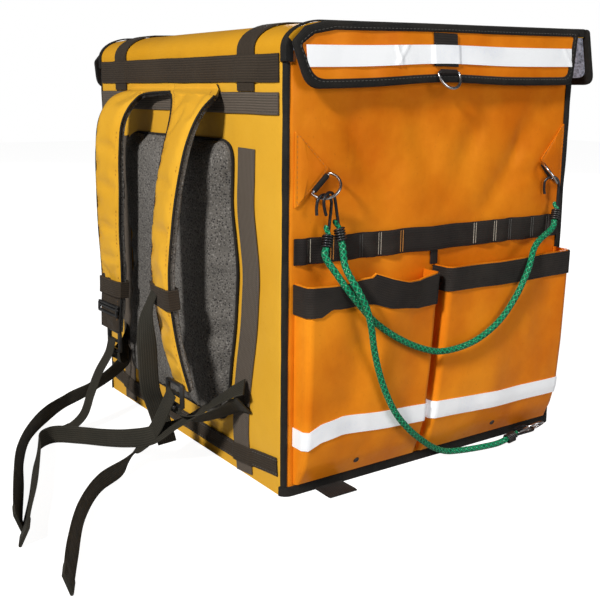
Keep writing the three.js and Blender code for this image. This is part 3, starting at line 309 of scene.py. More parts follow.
def foil_lining():
    # The foil glows a little, painted light, and its pale and dark blue flecks are painted reflections.
    made = Finish("foil_lining", Metallic=0.25, Emission_Strength=0.3)
    crush = made.graph.noise(made.place, 280.0, 4.0, 0.7)
    shade = made.graph.blend(made.graph.ramp(crush, 0.35, 0.65), (0.16, 0.2, 0.27, 1), (0.6, 0.7, 0.88, 1))
    made.feed(Base_Color=shade, Emission_Color=shade)
    made.feed(Roughness=made.graph.ramp(crush, 0.3, 0.7, 0.25, 0.45))
    made.bump((crush, 0.7, 1.2))
    return made.material


def crumpled_shade_sheet():
    """Thin black sheet that shines where it is creased: painted shade under the yoke."""
    made = Finish("crumpled_shade_sheet", Specular_IOR_Level=0.6)
    crush = made.graph.noise(made.place, 120.0, 3.0, 0.55)
    made.feed(Base_Color=made.graph.blend(crush, (0.006, 0.006, 0.008, 1), (0.04, 0.035, 0.035, 1)))
    made.feed(Roughness=made.graph.ramp(crush, 0.3, 0.7, 0.22, 0.4))
    made.bump((crush, 0.9, 3.0))
    return made.material


def moulded_plastic():
    made = Finish("moulded_plastic", Specular_IOR_Level=0.5)
    wear = made.group(WEAR_AND_SHEEN, made.place, Scale=30.0, Low=0.5, High=0.8)
    made.feed(Base_Color=made.graph.blend(wear["Mask"], (0.012, 0.012, 0.013, 1), (0.05, 0.05, 0.052, 1)))
    made.feed(Roughness=made.graph.ramp(wear["Grain"], 0.3, 0.7, 0.28, 0.45))
    made.bump((wear["Grain"], 0.15, 0.1))
    return made.material


def metal(name, bright, dull, metallic, smooth, rough):
    made = Finish(name, Metallic=metallic)
    wear = made.group(WEAR_AND_SHEEN, made.place, Scale=40.0, Low=0.45, High=0.75)
    made.feed(Base_Color=made.graph.blend(wear["Mask"], (*bright, 1), (*dull, 1)))
    made.feed(Roughness=made.graph.ramp(wear["Grain"], 0.3, 0.7, smooth, rough))
    made.bump((wear["Grain"], 0.1, 0.05))
    return made.material


def braided_cord():
    """Green strands that cross each other, with pale tracer threads where they meet."""
    made = Finish("braided_cord", Sheen_Weight=0.03, Specular_IOR_Level=0.3)
    along, around = made.graph.node("ShaderNodeSeparateXYZ", {0: made.surface}).outputs[:2]
    lay = made.graph.math("DIVIDE", along, BRAID_PITCH)
    lead = made.graph.math("DIVIDE", around, CORD_ROUND / BRAID_STRANDS)
    strands = [made.graph.math(way, lay, lead) for way in ("ADD", "SUBTRACT")]
    waves = [made.graph.math("SINE", made.graph.math("MULTIPLY", strand, TURN)) for strand in strands]
    # Strands are dark where they dip under one another: painted shade between the strands.
    over = made.graph.ramp(made.graph.math("MAXIMUM", *waves), 0.2, 1.0)
    green = made.graph.blend(over, (0.0, 0.07, 0.032, 1), (0.0, 0.33, 0.14, 1))
    tracer = made.graph.ramp(made.graph.math("MULTIPLY", *waves), 0.66, 0.86)
    worn = made.graph.ramp(made.graph.noise(made.place, 240.0, 2.0), 0.42, 0.62)
    tracer = made.graph.math("MULTIPLY", tracer, worn)
    made.feed(Base_Color=made.graph.blend(tracer, green, (0.3, 0.7, 0.45, 1)))
    made.feed(Roughness=made.graph.ramp(over, 0.0, 1.0, 0.75, 0.45))
    made.bump((over, 0.5, 0.4))
    return made.material


def thread(name, colour):
    made = Finish(name, Sheen_Weight=0.3)
    twist = made.graph.noise(made.place, 1500.0, 1.0)
    dark = tuple(0.55 * c for c in colour)
    made.feed(Base_Color=made.graph.blend(twist, (*dark, 1), (*colour, 1)))
    made.feed(Roughness=made.graph.ramp(twist, 0.3, 0.7, 0.5, 0.8))
    return made.material


CORD_WIDE = 7.2
CORD_ROUND = math.pi * CORD_WIDE
BRAID_PITCH = 6.5
BRAID_STRANDS = 4
# One coated cloth in three copies: the back copy is yellower, painted light, and the lid copy darker, painted
# shade.
COVER = coated_cloth("side_cloth", (0.7, 0.165, 0.005), (0.92, 0.3, 0.014), (0.45, 0.1, 0.004), 18.0, 0.22)
SHADED_LID_COVER = coated_cloth("lid_cloth_painted_shade", (0.67, 0.32, 0.016), (0.72, 0.36, 0.024), (0.52, 0.21, 0.01), 8.0, 0.2)
LIT_BACK_COVER = coated_cloth("back_cloth_painted_light", (0.75, 0.39, 0.03), (0.8, 0.44, 0.042), (0.6, 0.25, 0.015), 6.0, 0.2)
WEBBING = webbing_finish("back_webbing", (0.016, 0.011, 0.008), (0.062, 0.045, 0.03), 2.4, 2.0)
LOAD_WEBBING = webbing_finish("load_webbing", (0.045, 0.036, 0.029), (0.18, 0.145, 0.115), 2.4, 2.0)
LOOSE_WEBBING = webbing_finish("loose_webbing", (0.01, 0.0095, 0.007), (0.045, 0.041, 0.03), 2.4, 2.0)
BLACK_WEBBING = webbing_finish("side_webbing", (0.005, 0.004, 0.004), (0.026, 0.02, 0.018), 2.4, 2.0)
BINDING = webbing_finish("edge_tape", (0.004, 0.004, 0.004), (0.016, 0.015, 0.014), 1.5, 1.2)
MESH = spacer_mesh()
TAPE = reflective_tape()
FOIL = foil_lining()
SHADE_SHEET = crumpled_shade_sheet()
PLASTIC = moulded_plastic()
STEEL = metal("plated_steel", (0.6, 0.6, 0.62), (0.32, 0.31, 0.3), 1.0, 0.16, 0.32)
WIRE = metal("black_wire", (0.035, 0.035, 0.04), (0.1, 0.095, 0.09), 0.8, 0.25, 0.5)
CORD = braided_cord()
COVER_THREAD = thread("cover_thread", (0.5, 0.19, 0.012))
PALE_THREAD = thread("pale_thread", (0.42, 0.37, 0.3))
DARK_THREAD = thread("dark_thread", (0.06, 0.056, 0.05))
print("finishes:", len(bpy.data.materials))

# %% [markdown]
# ## Mesh tools
#
# Almost every piece here is a section carried along a route: webbing, tape, cord, wire and padded straps.
# So one loft joins rings of points, and one slab gives a curved grid its thickness. Each writes a UV map
# in millimetres, so that a weave keeps its scale on every piece.

# %% Mesh tools


def distances(points):
    """Running length along a row of points."""
    steps = np.linalg.norm(np.diff(points, axis=0), axis=1)
    return np.concatenate([[0.0], np.cumsum(steps)])


def loft(rings, closed=False):
    """A closed solid through rings of points; closed joins the last ring to the first."""
    rings = np.asarray(rings, float)
    rows, count = rings.shape[:2]
    path = np.vstack([rings.mean(axis=1), rings[:1].mean(axis=1)])
    along = distances(path)
    around = distances(np.vstack([rings[0], rings[0][:1]]))
    faces, uvs = [], []
    for r in range(rows if closed else rows - 1):
        following = (r + 1) % rows * count
        for k in range(count):
            m = (k + 1) % count
            faces.append((r * count + k, following + k, following + m, r * count + m))
            (a, b), (c, d) = along[r:r + 2], around[k:k + 2]
            uvs.append(((a, c), (b, c), (b, d), (a, d)))
    points = rings.reshape(-1, 3)
    if not closed:
        for start in (0, (rows - 1) * count):
            centre = len(points)
            points = np.vstack([points, points[start:start + count].mean(axis=0)])
            for k in range(count):
                faces.append((centre, start + k, start + (k + 1) % count))
                uvs.append(((0.0, 0.0), (1.0, around[k]), (1.0, around[k + 1])))
    return points, faces, uvs, [0] * len(faces)


def slab(outer, inner, loop=False):
    """A sheet with thickness between two grids; the inner side is material 1 and the rest material 0."""
    outer, inner = np.asarray(outer, float), np.asarray(inner, float)
    rows, cols = outer.shape[:2]
    points = np.vstack([outer.reshape(-1, 3), inner.reshape(-1, 3)])
    along = distances(np.vstack([outer[rows // 2], outer[rows // 2][:1]]))
    across = distances(outer[:, cols // 2])
    faces, uvs, sides = [], [], []

    def at(side, r, c):
        return (side * rows + r) * cols + c % cols

    def quad(corners, side):
        faces.append(tuple(at(*corner) for corner in corners))
        uvs.append(tuple((along[c], across[r]) for _, r, c in corners))
        sides.append(side)

    last = cols if loop else cols - 1
    for c in range(last):
        for r in range(rows - 1):
            for side in (0, 1):
                quad([(side, r, c), (side, r, c + 1), (side, r + 1, c + 1), (side, r + 1, c)], side)
        for r in (0, rows - 1):
            quad([(0, r, c), (0, r, c + 1), (1, r, c + 1), (1, r, c)], 0)
    for r in range(0 if loop else rows - 1):
        for c in (0, last):
            quad([(0, r, c), (0, r + 1, c), (1, r + 1, c), (1, r, c)], 0)
    return points, faces, uvs, sides


def together(*shapes):
    """Several shapes as one mesh."""
    points, faces, uvs, sides = [], [], [], []
    for shape in shapes:
        start = sum(len(p) for p in points)
        points.append(np.asarray(shape[0], float))
        faces += [tuple(start + i for i in face) for face in shape[1]]
        uvs += shape[2]
        sides += shape[3]
    return np.vstack(points), faces, uvs, sides


def build(name, shape, finishes, slot, nodes=(), crease=50.0):
    """Makes a piece of a shape, at the origin and in metres, and rides it on the bag."""
    points, faces, uvs, sides = shape
    mesh = bpy.data.meshes.new(name)
    mesh.from_pydata((points * MM).tolist(), [], faces)
    layer = mesh.uv_layers.new(name="surface")
    layer.uv.foreach_set("vector", [value for face in uvs for corner in face for value in corner])
    for finish in finishes:
        mesh.materials.append(finish)
    mesh.polygons.foreach_set("material_index", [min(s, len(finishes) - 1) for s in sides])
    shell = bmesh.new()
    shell.from_mesh(mesh)
    bmesh.ops.recalc_face_normals(shell, faces=shell.faces)
    shell.to_mesh(mesh)
    shell.free()
    mesh.polygons.foreach_set("use_smooth", [True] * len(mesh.polygons))
    mesh.set_sharp_from_angle(angle=math.radians(crease))
    piece = bpy.data.objects.new(name, mesh)
    bpy.context.collection.objects.link(piece)
    return attach(piece, slot, *nodes)


def attach(piece, slot, *nodes):
    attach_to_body(piece, BODY)
    if nodes:
        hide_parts(*nodes)
    return piece


def smooth_rows(rows, steps):
    """Rows of numbers made finer along one smooth curve through the points in their first columns."""
    rows = np.asarray(rows, float)
    spans = np.linalg.norm(np.diff(rows[:, :3], axis=0), axis=1) ** 0.5
    padded = np.vstack([2 * rows[0] - rows[1], rows, 2 * rows[-1] - rows[-2]])
    spans = np.concatenate([spans[:1], spans, spans[-1:]])
    finer = []
    for i in range(len(rows) - 1):
        before, start, end, after = padded[i:i + 4]
        d0, d1, d2 = spans[i:i + 3]
        leave = ((start - before) / d0 - (end - before) / (d0 + d1) + (end - start) / d1) * d1
        reach = ((end - start) / d1 - (after - start) / (d1 + d2) + (after - end) / d2) * d1
        for t in np.arange(steps) / steps:
            finer.append(
                (2 * t**3 - 3 * t**2 + 1) * start + (t**3 - 2 * t**2 + t) * leave
                + (3 * t**2 - 2 * t**3) * end + (t**3 - t**2) * reach)
    return np.vstack([finer, rows[-1]])


def unit(vectors):
    vectors = np.asarray(vectors, float)
    return vectors / np.linalg.norm(vectors, axis=-1, keepdims=True)


def tangents(path, closed=False):
    if closed:
        return unit(np.roll(path, -1, axis=0) - np.roll(path, 1, axis=0))
    return unit(np.gradient(path, axis=0))


def tube(path, radius, sides=12, closed=False, relief=None):
    """A round bar along a path; relief(along, turn) changes its radius."""
    path = np.asarray(path, float)
    ways = tangents(path, closed)
    side = np.cross(ways[0], (0.0, 0.0, 1.0) if abs(ways[0][2]) < 0.9 else (1.0, 0.0, 0.0))
    along = distances(path)
    rings = []
    for centre, way, run in zip(path, ways, along):
        side = unit(side - way * np.dot(side, way))
        up_side = np.cross(way, side)
        turns = np.arange(sides) / sides * TURN
        reach = np.array([radius * (relief(run, t) if relief else 1.0) for t in turns])
        spokes = side * np.cos(turns)[:, None] + up_side * np.sin(turns)[:, None]
        rings.append(centre + spokes * reach[:, None])
    return loft(rings, closed)


def flat_section(width, thick):
    """Outline of a woven band: flat faces and rounded selvedges."""
    half, rise, edge = width / 2, thick / 2, thick * 0.6
    top = [(-half + edge, rise), (-half / 2, rise), (0, rise), (half / 2, rise), (half - edge, rise)]
    turned = [(half, rise * 0.35), (half, -rise * 0.35)]
    return top + turned + [(a, -b) for a, b in top[::-1]] + [(-a, b) for a, b in turned[::-1]]


def band(stations, width, thick, hem=0.0):
    """A woven band along rows of point and direction across; hem doubles its last stretch."""
    stations = np.asarray(stations, float)
    path, across = stations[:, :3], unit(stations[:, 3:6])
    ways = tangents(path)
    out = unit(np.cross(ways, across))
    across = np.cross(out, ways)
    left = distances(path)[-1] - distances(path)
    section = flat_section(width, thick)
    rings = []
    for i, centre in enumerate(path):
        rise = 2.0 if left[i] < hem else 1.0
        rings.append([centre + across[i] * a + out[i] * b * rise for a, b in section])
    return loft(rings)


def ripple(*place, size=60.0, seed=0.0):
    """Smooth noise from -1 to 1, with features about as wide as size."""
    return noise.noise(Vector([p / size + seed for p in place]))


print("mesh tools ready")

# %% [markdown]
# ## Hooks and elastic cords
#
# Each cord ends in a bent wire hook. The cord's end goes through a tight coil of the same wire, folds
# over and comes back, so a short loop of cord stands up beside the shank. The routes follow the packed
# solids. A cord is a tube whose radius follows its braid, because a braid shows in the outline too.

# %% Hooks
HOOK_WIRE = 1.5
HOOK_BEND = 8.2  # radius of the bend, to the middle of the wire
HOOK_TIP = 11.0
HOOK_SHANK = 28.0
SLEEVE = 13.0  # length of the coil
COIL_WIRE = 1.1
COIL_RADIUS = 4.6
COIL_TURNS = 4.5
# Middle of the bend, then the ways from shank to tip, down the shank and along the cord
HOOKS = {
    "a_left": ((218.7, -158.7, 286.4), (0, -0.995, 0.105), (0, -0.105, -0.995), (3, -4.5, -13)),
    "b_left": ((221.7, -155.2, 288.5), (0.251, -0.937, -0.242), (-0.063, 0.234, -0.97), (4, 1, -15)),
    "a_right": ((212.7, 160.1, 288.6), (-0.5, -0.866, 0), (0, 0, -1), (2, -5, -12)),
    "b_right": ((223.1, 133.4, 9), (-1, 0, 0), (0, -1, 0), (-1, -12, -2.3)),
}


def hook_frame(name):
    middle, aside, fall, pull = (np.array(v, float) for v in HOOKS[name])
    pull = unit(pull)
    shank_end = middle - aside * HOOK_BEND + fall * HOOK_SHANK
    return middle, aside, fall, pull, shank_end, shank_end + pull * SLEEVE


def hook_shape(name):
    """The bent wire and the coil that it ends in."""
    middle, aside, fall, pull, shank_end, _ = hook_frame(name)
    tip = middle + aside * (HOOK_BEND - 1) + fall * HOOK_TIP
    route = [tip, middle + aside * HOOK_BEND + fall * HOOK_TIP / 2]
    for turn in np.linspace(0, math.pi, 9):
        route.append(middle + aside * HOOK_BEND * math.cos(turn) - fall * HOOK_BEND * math.sin(turn))
    route += [middle - aside * HOOK_BEND + fall * HOOK_SHANK / 2, shank_end - fall * 2]
    side = unit(np.cross(pull, np.cross(aside, pull)))
    other = np.cross(pull, side)
    coil = []
    for share in np.linspace(0, 1, int(COIL_TURNS * 14)):
        turn = math.pi + share * COIL_TURNS * TURN
        ring = side * math.cos(turn) + other * math.sin(turn)
        coil.append(shank_end + pull * (1 + share * (SLEEVE - 2)) + ring * COIL_RADIUS)
    wire = tube(smooth_rows(route, 4), HOOK_WIRE, 10)
    winding = tube(coil, COIL_WIRE, 8)
    return together(wire, winding)


hooks = {}
for name in HOOKS:
    hooks[name] = build(f"wire_hook_{name}", hook_shape(name), [WIRE], "wire", [f"hook_{name}"])
print("hooks:", ", ".join(hooks))

# %% Elastic cords
CORD_A = [
    (230, -150, 220), (237, -136, 199), (236.5, -113, 175), (236.5, -90, 158), (236.5, -63, 143),
    (236.5, -38, 133), (236, -22, 129), (236, 7, 129), (236, 35, 135), (236, 64, 150),
    (236.5, 86, 173), (237.5, 102, 201), (230, 120, 225),
]
CORD_B = [
    (232, -143, 228), (244, -136, 206), (246, -128, 190), (245, -121, 171), (240, -112, 145),
    (236.5, -101, 117), (236, -90, 93), (235, -76, 71), (233, -56, 50), (228, -33, 32),
    (223, -12, 18), (220, 9, 8), (221, 28, 4.8), (225, 45, 4.6), (228, 62, 4.6), (229.5, 78, 4.6),
]
LOOP_END = 9.0  # the folded end that stands up past the coil


def braid_relief(along, turn):
    lay, lead = along / BRAID_PITCH * TURN, turn * BRAID_STRANDS
    return 0.88 + 0.07 * max(math.sin(lay + lead), math.sin(lay - lead))


def cord_end(name):
    _, _, _, pull, _, grip = hook_frame(name)
    return [grip + pull * GAP, grip + pull * CORD_WIDE]


def cord_route(points, start, end):
    return smooth_rows([*cord_end(start), *points, *cord_end(end)[::-1]], 14)


def end_loop(name):
    """The cord inside the coil and its folded end beside the shank."""
    _, aside, _, pull, shank_end, grip = hook_frame(name)
    lean = unit(aside * 0.6 - pull)
    fold = [shank_end + lean * LOOP_END * share for share in (0, 0.5, 1)]
    path = smooth_rows([grip, shank_end + pull * 6, *fold], 6)
    length = distances(path)[-1]

    def rounded_end(run, turn):
        return braid_relief(run, turn) * min(1.0, 0.35 + math.sqrt(max(0.0, length - run)) / 2.2)

    return tube(path, CORD_WIDE / 2 - 0.9, 16, relief=rounded_end)


for letter, points in (("a", CORD_A), ("b", CORD_B)):
    path = cord_route(points, f"{letter}_left", f"{letter}_right")
    braid = tube(path, CORD_WIDE / 2, 16, relief=braid_relief)
    cord = build(f"elastic_cord_{letter}", braid, [CORD], "cord", [f"bungee_{letter}"])
    ends = []
    for side in ("left", "right"):
        name = f"{letter}_{side}"
        ends += [hooks[name], build(f"cord_end_{name}", end_loop(name), [CORD], "cord")]
    print(cord.name, round(distances(path)[-1]), "mm")

# %% [markdown]
# ## Loose webbing
#
# The strap adjusters, hip straps and chest strap end in loose tails. They are flat woven bands: each row
# of a route gives a point and the direction across the band, so a tail can turn as it falls and then run
# along the floor on its edge. The last stretch of each is folded back and sewn, which stops it from
# slipping out of its buckle.

# %% Loose webbing
WEB_THICK = 1.5
TAIL_WIDE = 20.0
ANCHOR_WIDE = 25.0
HEM = 20.0
# Points along the middle of each tail, with the direction across it
TAILS = {
    "hip_tail_right": [
        (150, -203, 100, -0.62, 0.5, 0.55), (140, -209, 94, -0.7, 0.55, 0.4),
        (122, -224, 78, -0.79, 0.6, 0.15), (104, -250, 58, -0.79, 0.6, 0.15),
        (78, -270, 40, -0.35, 0.3, 0.9), (42, -280, 27, 0, 0, 1),
        (3, -290, 17, 0, 0, 1), (-30, -308, 13, 0, 0, 1), (-52, -328, 11, 0, 0, 1),
        (-46, -344, 10.5, 0, 0, 1), (-7, -362, 10, 0.2, 0.3, 0.93), (75, -395, 9.6, 0.2, 0.4, 0.9),
        (133, -421, 9.6, 0.18, 0.38, 0.9), (163, -433, 9.6, 0.18, 0.38, 0.9),
    ],
    "hip_tail_left": [
        (-150, -196, 64, 0, 0, 1), (-134, -199.5, 62, 0, 0, 1), (-128, -222, 47, 0.3, 0, 0.95),
        (-132, -250, 30, 0.5, 0, 0.85), (-140, -280, 16, 0.3, 0.1, 0.95), (-124, -309, 10.6, 0, 0, 1),
        (-76, -347, 10.7, 0, 0, 1), (-17, -377, 10.5, -0.1, -0.25, 0.95), (45, -399, 10.2, -0.14, -0.4, 0.9),
        (119, -424, 10.3, -0.1, -0.32, 0.94), (137, -429, 10.3, -0.1, -0.32, 0.94),
    ],
    "adjust_tail_right": [
        (103, -258.8, 92, 1, 0, 0), (94, -263, 72, 1, 0, 0), (80, -267, 48, 1, 0, 0),
        (64, -273, 28, 1, 0, 0.2), (58, -282, 16, 0.75, 0.1, 0.6), (72, -299, 10.9, 0.2, 0.1, 0.95),
        (96, -335, 10.8, 0, 0, 1), (142, -372, 10.6, -0.1, -0.18, 0.97),
        (208, -407, 10.2, -0.17, -0.36, 0.92), (260, -431, 10.4, -0.13, -0.29, 0.95),
    ],
    "adjust_tail_left": [
        (-90, -238.7, 100, 1, 0, 0), (-90, -243, 84, 1, 0, 0), (-88, -258, 62, 1, 0, 0),
        (-80, -272, 40, 1, 0, 0), (-75, -284, 18, 1, 0, 0), (-78, -300, 5, 1, 0, 0),
        (-82, -318, 2.5, 1, 0, 0),
    ],
    "sternum_tail": [
        (78, -263.2, 190, 1, -0.16, 0), (75, -267, 178, 1, -0.1, 0), (72, -270, 160, 0.9, 0.3, 0),
        (68, -268, 125, 0.43, 0.9, 0), (64, -264, 85, 0.43, 0.9, 0), (58, -256, 66, 0.43, 0.9, 0),
        (54, -248, 45, 0.43, 0.9, 0), (60, -244, 20, 0.43, 0.9, 0),
    ],
}
ANCHORS = {
    "anchor_web_right": [
        (103, -255.4, 76.3, 1, 0, 0), (103, -254, 69, 1, 0, 0), (112, -238, 62, 0.75, -0.2, 0.5),
        (127, -218, 69, 0.5, -0.6, 0.62), (139, -206, 77, 0.4, -0.5, 0.7), (150, -203, 80, 0.4, -0.45, 0.75),
    ],
    "anchor_web_left": [
        (-90.5, -235.2, 83.4, -1, 0, 0), (-91, -234, 75, -1, 0, 0), (-101, -224, 74, -0.85, 0.2, 0.45),
        (-120, -209, 80, -0.45, 0.2, 0.87), (-134, -200, 88, -0.1, 0, 1), (-148, -196.6, 91, 0, 0, 1),
    ],
}
for name, rows in TAILS.items():
    stations = smooth_rows(rows, 10)
    path = stations[:, :3]
    webbing = band(stations, TAIL_WIDE, WEB_THICK, HEM)
    tail = build(f"{name}_webbing", webbing, [LOOSE_WEBBING], "webbing", [name])
    print(name, round(distances(path)[-1]), "mm")
for name, rows in ANCHORS.items():
    webbing = band(smooth_rows(rows, 10), ANCHOR_WIDE, WEB_THICK)
    build(f"{name}bing", webbing, [LOOSE_WEBBING], "webbing", [name])

# %% [markdown]
# ## Body
#
# The walls are foam between coated cloth and a foil lining. Such a wall is never quite flat: it dents
# softly, and on the pocket side folds run down from the two ring patches, which pull at the cloth. The
# wall is lofted in many rings, and each point is set back by the folds and by smooth noise, always
# inwards, so nothing that is sewn on sinks in.

# %% Body
WALL = 8.0
CORNER = 9.0
SEAM_Z = 411.5
LID_BACK_Z, LID_FRONT_Z = 447.0, 455.0
LID_ROUND_Y, LID_ROUND_Z = 43.0, 24.0
LID_OVERHANG = 12.0
RIM = [
    (-HALF_D + CORNER + 0.5, SEAM_Z - GAP), (-HALF_D + 18, LID_BACK_Z - 22),
    (-HALF_D + LID_ROUND_Y, LID_BACK_Z - WALL - 2), (HALF_D, LID_FRONT_Z - WALL - 2),
]
# Folds on the pocket side: middle, half length, half width, slope and depth
FOLDS = [
    (-95, 322, 75, 15, -0.95, 3.5), (-30, 345, 60, 14, -1.1, 3.0),
    (40, 335, 60, 15, 1.15, 3.0), (105, 318, 70, 14, 0.95, 3.5),
    (-120, 300, 30, 6, -0.3, 1.6), (-112, 336, 34, 5, -1.25, 1.4),
    (122, 300, 30, 6, 0.3, 1.6), (112, 338, 34, 5, 1.3, 1.4), (5, 372, 40, 7, 0.05, 1.5),
]
FOLD_Z = (258.0, 388.0)


def fold_depth(y, z):
    """How far the folds set the pocket side back."""
    fade = np.clip((z - FOLD_Z[0]) / 14, 0, 1) * np.clip((FOLD_Z[1] - z) / 10, 0, 1)
    depth = 0.0
    for mid_y, mid_z, run, wide, turn, deep in FOLDS:
        dy, dz = y - mid_y, z - mid_z
        along = dy * math.cos(turn) + dz * math.sin(turn)
        aside = dz * math.cos(turn) - dy * math.sin(turn)
        depth += deep * math.exp(-((along / run) ** 2) - (aside / wide) ** 2)
    return fade * depth


def perimeter(offset, spacing):
    """Points round the box with the way out at each, moved out by an offset."""
    radius = CORNER + offset
    places = []
    for quarter, (sx, sy) in enumerate(((1, -1), (1, 1), (-1, 1), (-1, -1))):
        centre = np.array([sx * (HALF_W - CORNER), sy * (HALF_D - CORNER)])
        for turn in np.linspace(0, math.pi / 2, 6) + (quarter - 1) * math.pi / 2:
            way = np.array([math.cos(turn), math.sin(turn)])
            places.append((*(centre + way * radius), *way))
        run = 2 * ((HALF_D if quarter % 2 == 0 else HALF_W) - CORNER)
        step = np.array([-way[1], way[0]])
        start = np.array(places[-1][:2])
        for i in range(1, int(run / spacing)):
            places.append((*(start + step * run * i / int(run / spacing)), *way))
    return np.array(places)


def wall_dent(x, y, z):
    """Soft dents and folds of the walls, inwards."""
    soft = 1.1 * max(0.0, ripple(x, y, z, size=70.0)) + 0.5 * max(0.0, ripple(x, y, z, size=24.0, seed=9.0))
    if x > HALF_W - 1:
        soft = 0.5 * soft + fold_depth(y, z)
    return soft


def body_shape():
    outline, lining = perimeter(0, 7.0), perimeter(-WALL, 7.0)
    rim = np.interp(outline[:, 1], *zip(*RIM))
    rings = []
    for share in np.linspace(0, 1, 66):
        ring = []
        for (x, y, wx, wy), top in zip(outline, rim):
            flat = max(abs(wx), abs(wy)) > 0.999
            dent = wall_dent(x, y, top * share) if flat and 0 < share < 1 else 0.0
            ring.append((x - wx * dent, y - wy * dent, top * share))
        rings.append(ring)
    rings.append([(x, y, top) for (x, y, _, _), top in zip(lining, rim)])
    rings.append([(x, y, WALL) for x, y, _, _ in lining])
    points, faces, uvs, _ = loft(rings)
    # The back panel takes the yellower copy of the cloth: painted light.
    back_side = -HALF_D + CORNER / 2
    return points, faces, uvs, [int(max(points[i][1] for i in face) < back_side) for face in faces]


body = build("body_cover", body_shape(), [COVER, LIT_BACK_COVER], "cover", ["body_shell"])
print("body", len(body.data.polygons), "faces")

# %% [markdown]
# ## Lid and flaps
#
# The lid is one padded panel. It is sewn to the back panel, rolls over in a soft curve and runs to the
# front, and flaps hang from its other three edges, each framed in folded tape. Cloth that hangs free is
# never straight, so the flaps wave a little at the hem. The front flap stands off most, and there its
# foil lining shows.

# %% Lid
LID_CROWN = 4.0


def lid_rows():
    """Points along the lid from the back seam to the front edge: y, z, way out, rise of the crown."""
    rows = [(-HALF_D, SEAM_Z, -1.0, 0.0, 0.0)]
    for turn in np.linspace(0, math.pi / 2, 13):
        way = unit((-math.cos(turn) / LID_ROUND_Y, math.sin(turn) / LID_ROUND_Z))
        rows.append((
            -HALF_D + LID_ROUND_Y * (1 - math.cos(turn)),
            LID_BACK_Z - LID_ROUND_Z * (1 - math.sin(turn)),
            *way, 0.0,
        ))
    for share in np.linspace(0, 1, 41)[1:]:
        rows.append((
            -HALF_D + LID_ROUND_Y + share * (2 * HALF_D + LID_OVERHANG - LID_ROUND_Y),
            LID_BACK_Z + share * (LID_FRONT_Z - LID_BACK_Z),
            0.0, 1.0, math.sin(share * math.pi),
        ))
    return rows


LID = lid_rows()


def lid_point(row, x, lift):
    y, z, wy, wz, rise = row
    crown = LID_CROWN * rise * (1 - (x / HALF_W) ** 2)
    return (x, y + wy * lift, z + wz * lift + crown)


def lid_top(y):
    return np.interp(y, [r[0] for r in LID[1:]], [r[1] for r in LID[1:]])


def lid_shape():
    across = np.linspace(-HALF_W, HALF_W, 55)

    def grid(lift, soft):
        return [[lid_point(row, x, lift - soft * max(0.0, ripple(x, row[0], row[1], size=48.0, seed=3.0)))
                 for x in across] for row in LID]

    return slab(grid(0.0, 1.6), grid(-WALL, 0.0))


# The lid takes the darker copy of the cloth: painted shade.
lid = build("lid_cover", lid_shape(), [SHADED_LID_COVER, FOIL], "cover", ["lid_panel"])
print("lid:", len(lid.data.polygons), "faces")

# %% Flaps
FLAP_DROP = 58.0
FLAP_THICK = 4.0
FLAP_TAPE = 8.0
FLAP_LEAN = {"right": 5.0, "left": 11.0, "front": 13.0}
FRONT_HALF = HALF_W + 5
SIDE_END = (191.0, 180.0)  # the side flaps end before the front flap, and slant
SIDE_START = {"right": -HALF_D + 3, "left": -HALF_D - 2}  # where their rear edges start
HEM_START = {"right": -HALF_D + 15, "left": -HALF_D + 4}
SIDE_SEAM = 15.0  # this far along they are sewn to the lid


def side_corners(side):
    """Outline of a side flap: place along the lid, height from its edge line, and radius of the corner."""
    start, seam = SIDE_START[side], SIDE_START[side] + SIDE_SEAM
    return [
        (start, lid_top(start) - LID_BACK_Z - 2, 3), (seam, lid_top(seam) - LID_BACK_Z, 0),
        (-HALF_D + LID_ROUND_Y, 1, 0), (SIDE_END[0], 1, 4), (SIDE_END[1], -FLAP_DROP, 10),
        (HEM_START[side], -FLAP_DROP, 14),
    ]


HEM_RISE = 4.0  # the hem is drawn up near the ring
FRONT_CORNERS = [
    (-FRONT_HALF, 1, 4), (FRONT_HALF, 1, 4), (FRONT_HALF, -FLAP_DROP, 12), (-FRONT_HALF, -FLAP_DROP, 12),
]


def side_line(u):
    """Height of the lid's edge line over a place along the side."""
    span = 2 * HALF_D + LID_OVERHANG - LID_ROUND_Y
    return LID_BACK_Z + (u + HALF_D - LID_ROUND_Y) / span * (LID_FRONT_Z - LID_BACK_Z)


def flap_point(side, u, v, lift):
    """A point of a flap from its place along the edge, its height from the edge line and its lift."""
    z = v + (LID_FRONT_Z if side == "front" else side_line(u))
    drop = max(0.0, LID_FRONT_Z - z) / FLAP_DROP
    wave = 1.3 * drop * (1 + math.sin(u / 23.0) * math.cos(u / 61.0))
    out = GAP + lift + FLAP_LEAN[side] * drop + wave
    z += HEM_RISE * drop * math.exp(-((u + 15) / 70) ** 2)
    if side == "front":
        return (u, HALF_D + LID_OVERHANG + out, z)
    return ((HALF_W + out) * (1 if side == "right" else -1), u, z)


def rounded_outline(corners, spacing=6.0):
    """A closed outline whose corners are rounded, with points no further apart than spacing."""
    outline = []
    corners = np.array(corners, float)
    for i, radius in enumerate(corners[:, 2]):
        here, before, after = corners[i, :2], corners[i - 1, :2], corners[(i + 1) % len(corners), :2]
        if radius:
            start = here + unit(before - here) * radius
            end = here + unit(after - here) * radius
            for t in np.linspace(0, 1, 7):
                outline.append((1 - t) ** 2 * start + 2 * t * (1 - t) * here + t**2 * end)
        else:
            outline.append(here)
    finer = []
    for here, after in zip(outline, outline[1:] + outline[:1]):
        steps = max(1, int(np.linalg.norm(after - here) / spacing))
        finer += [here + (after - here) * i / steps for i in range(steps)]
    return np.array(finer)


def drawn_in(outline, inset):
    """An outline scaled so that each side lies further in."""
    low, high = outline.min(axis=0), outline.max(axis=0)
    middle = (low + high) / 2
    return middle + (outline - middle) * (1 - 2 * inset / (high - low))


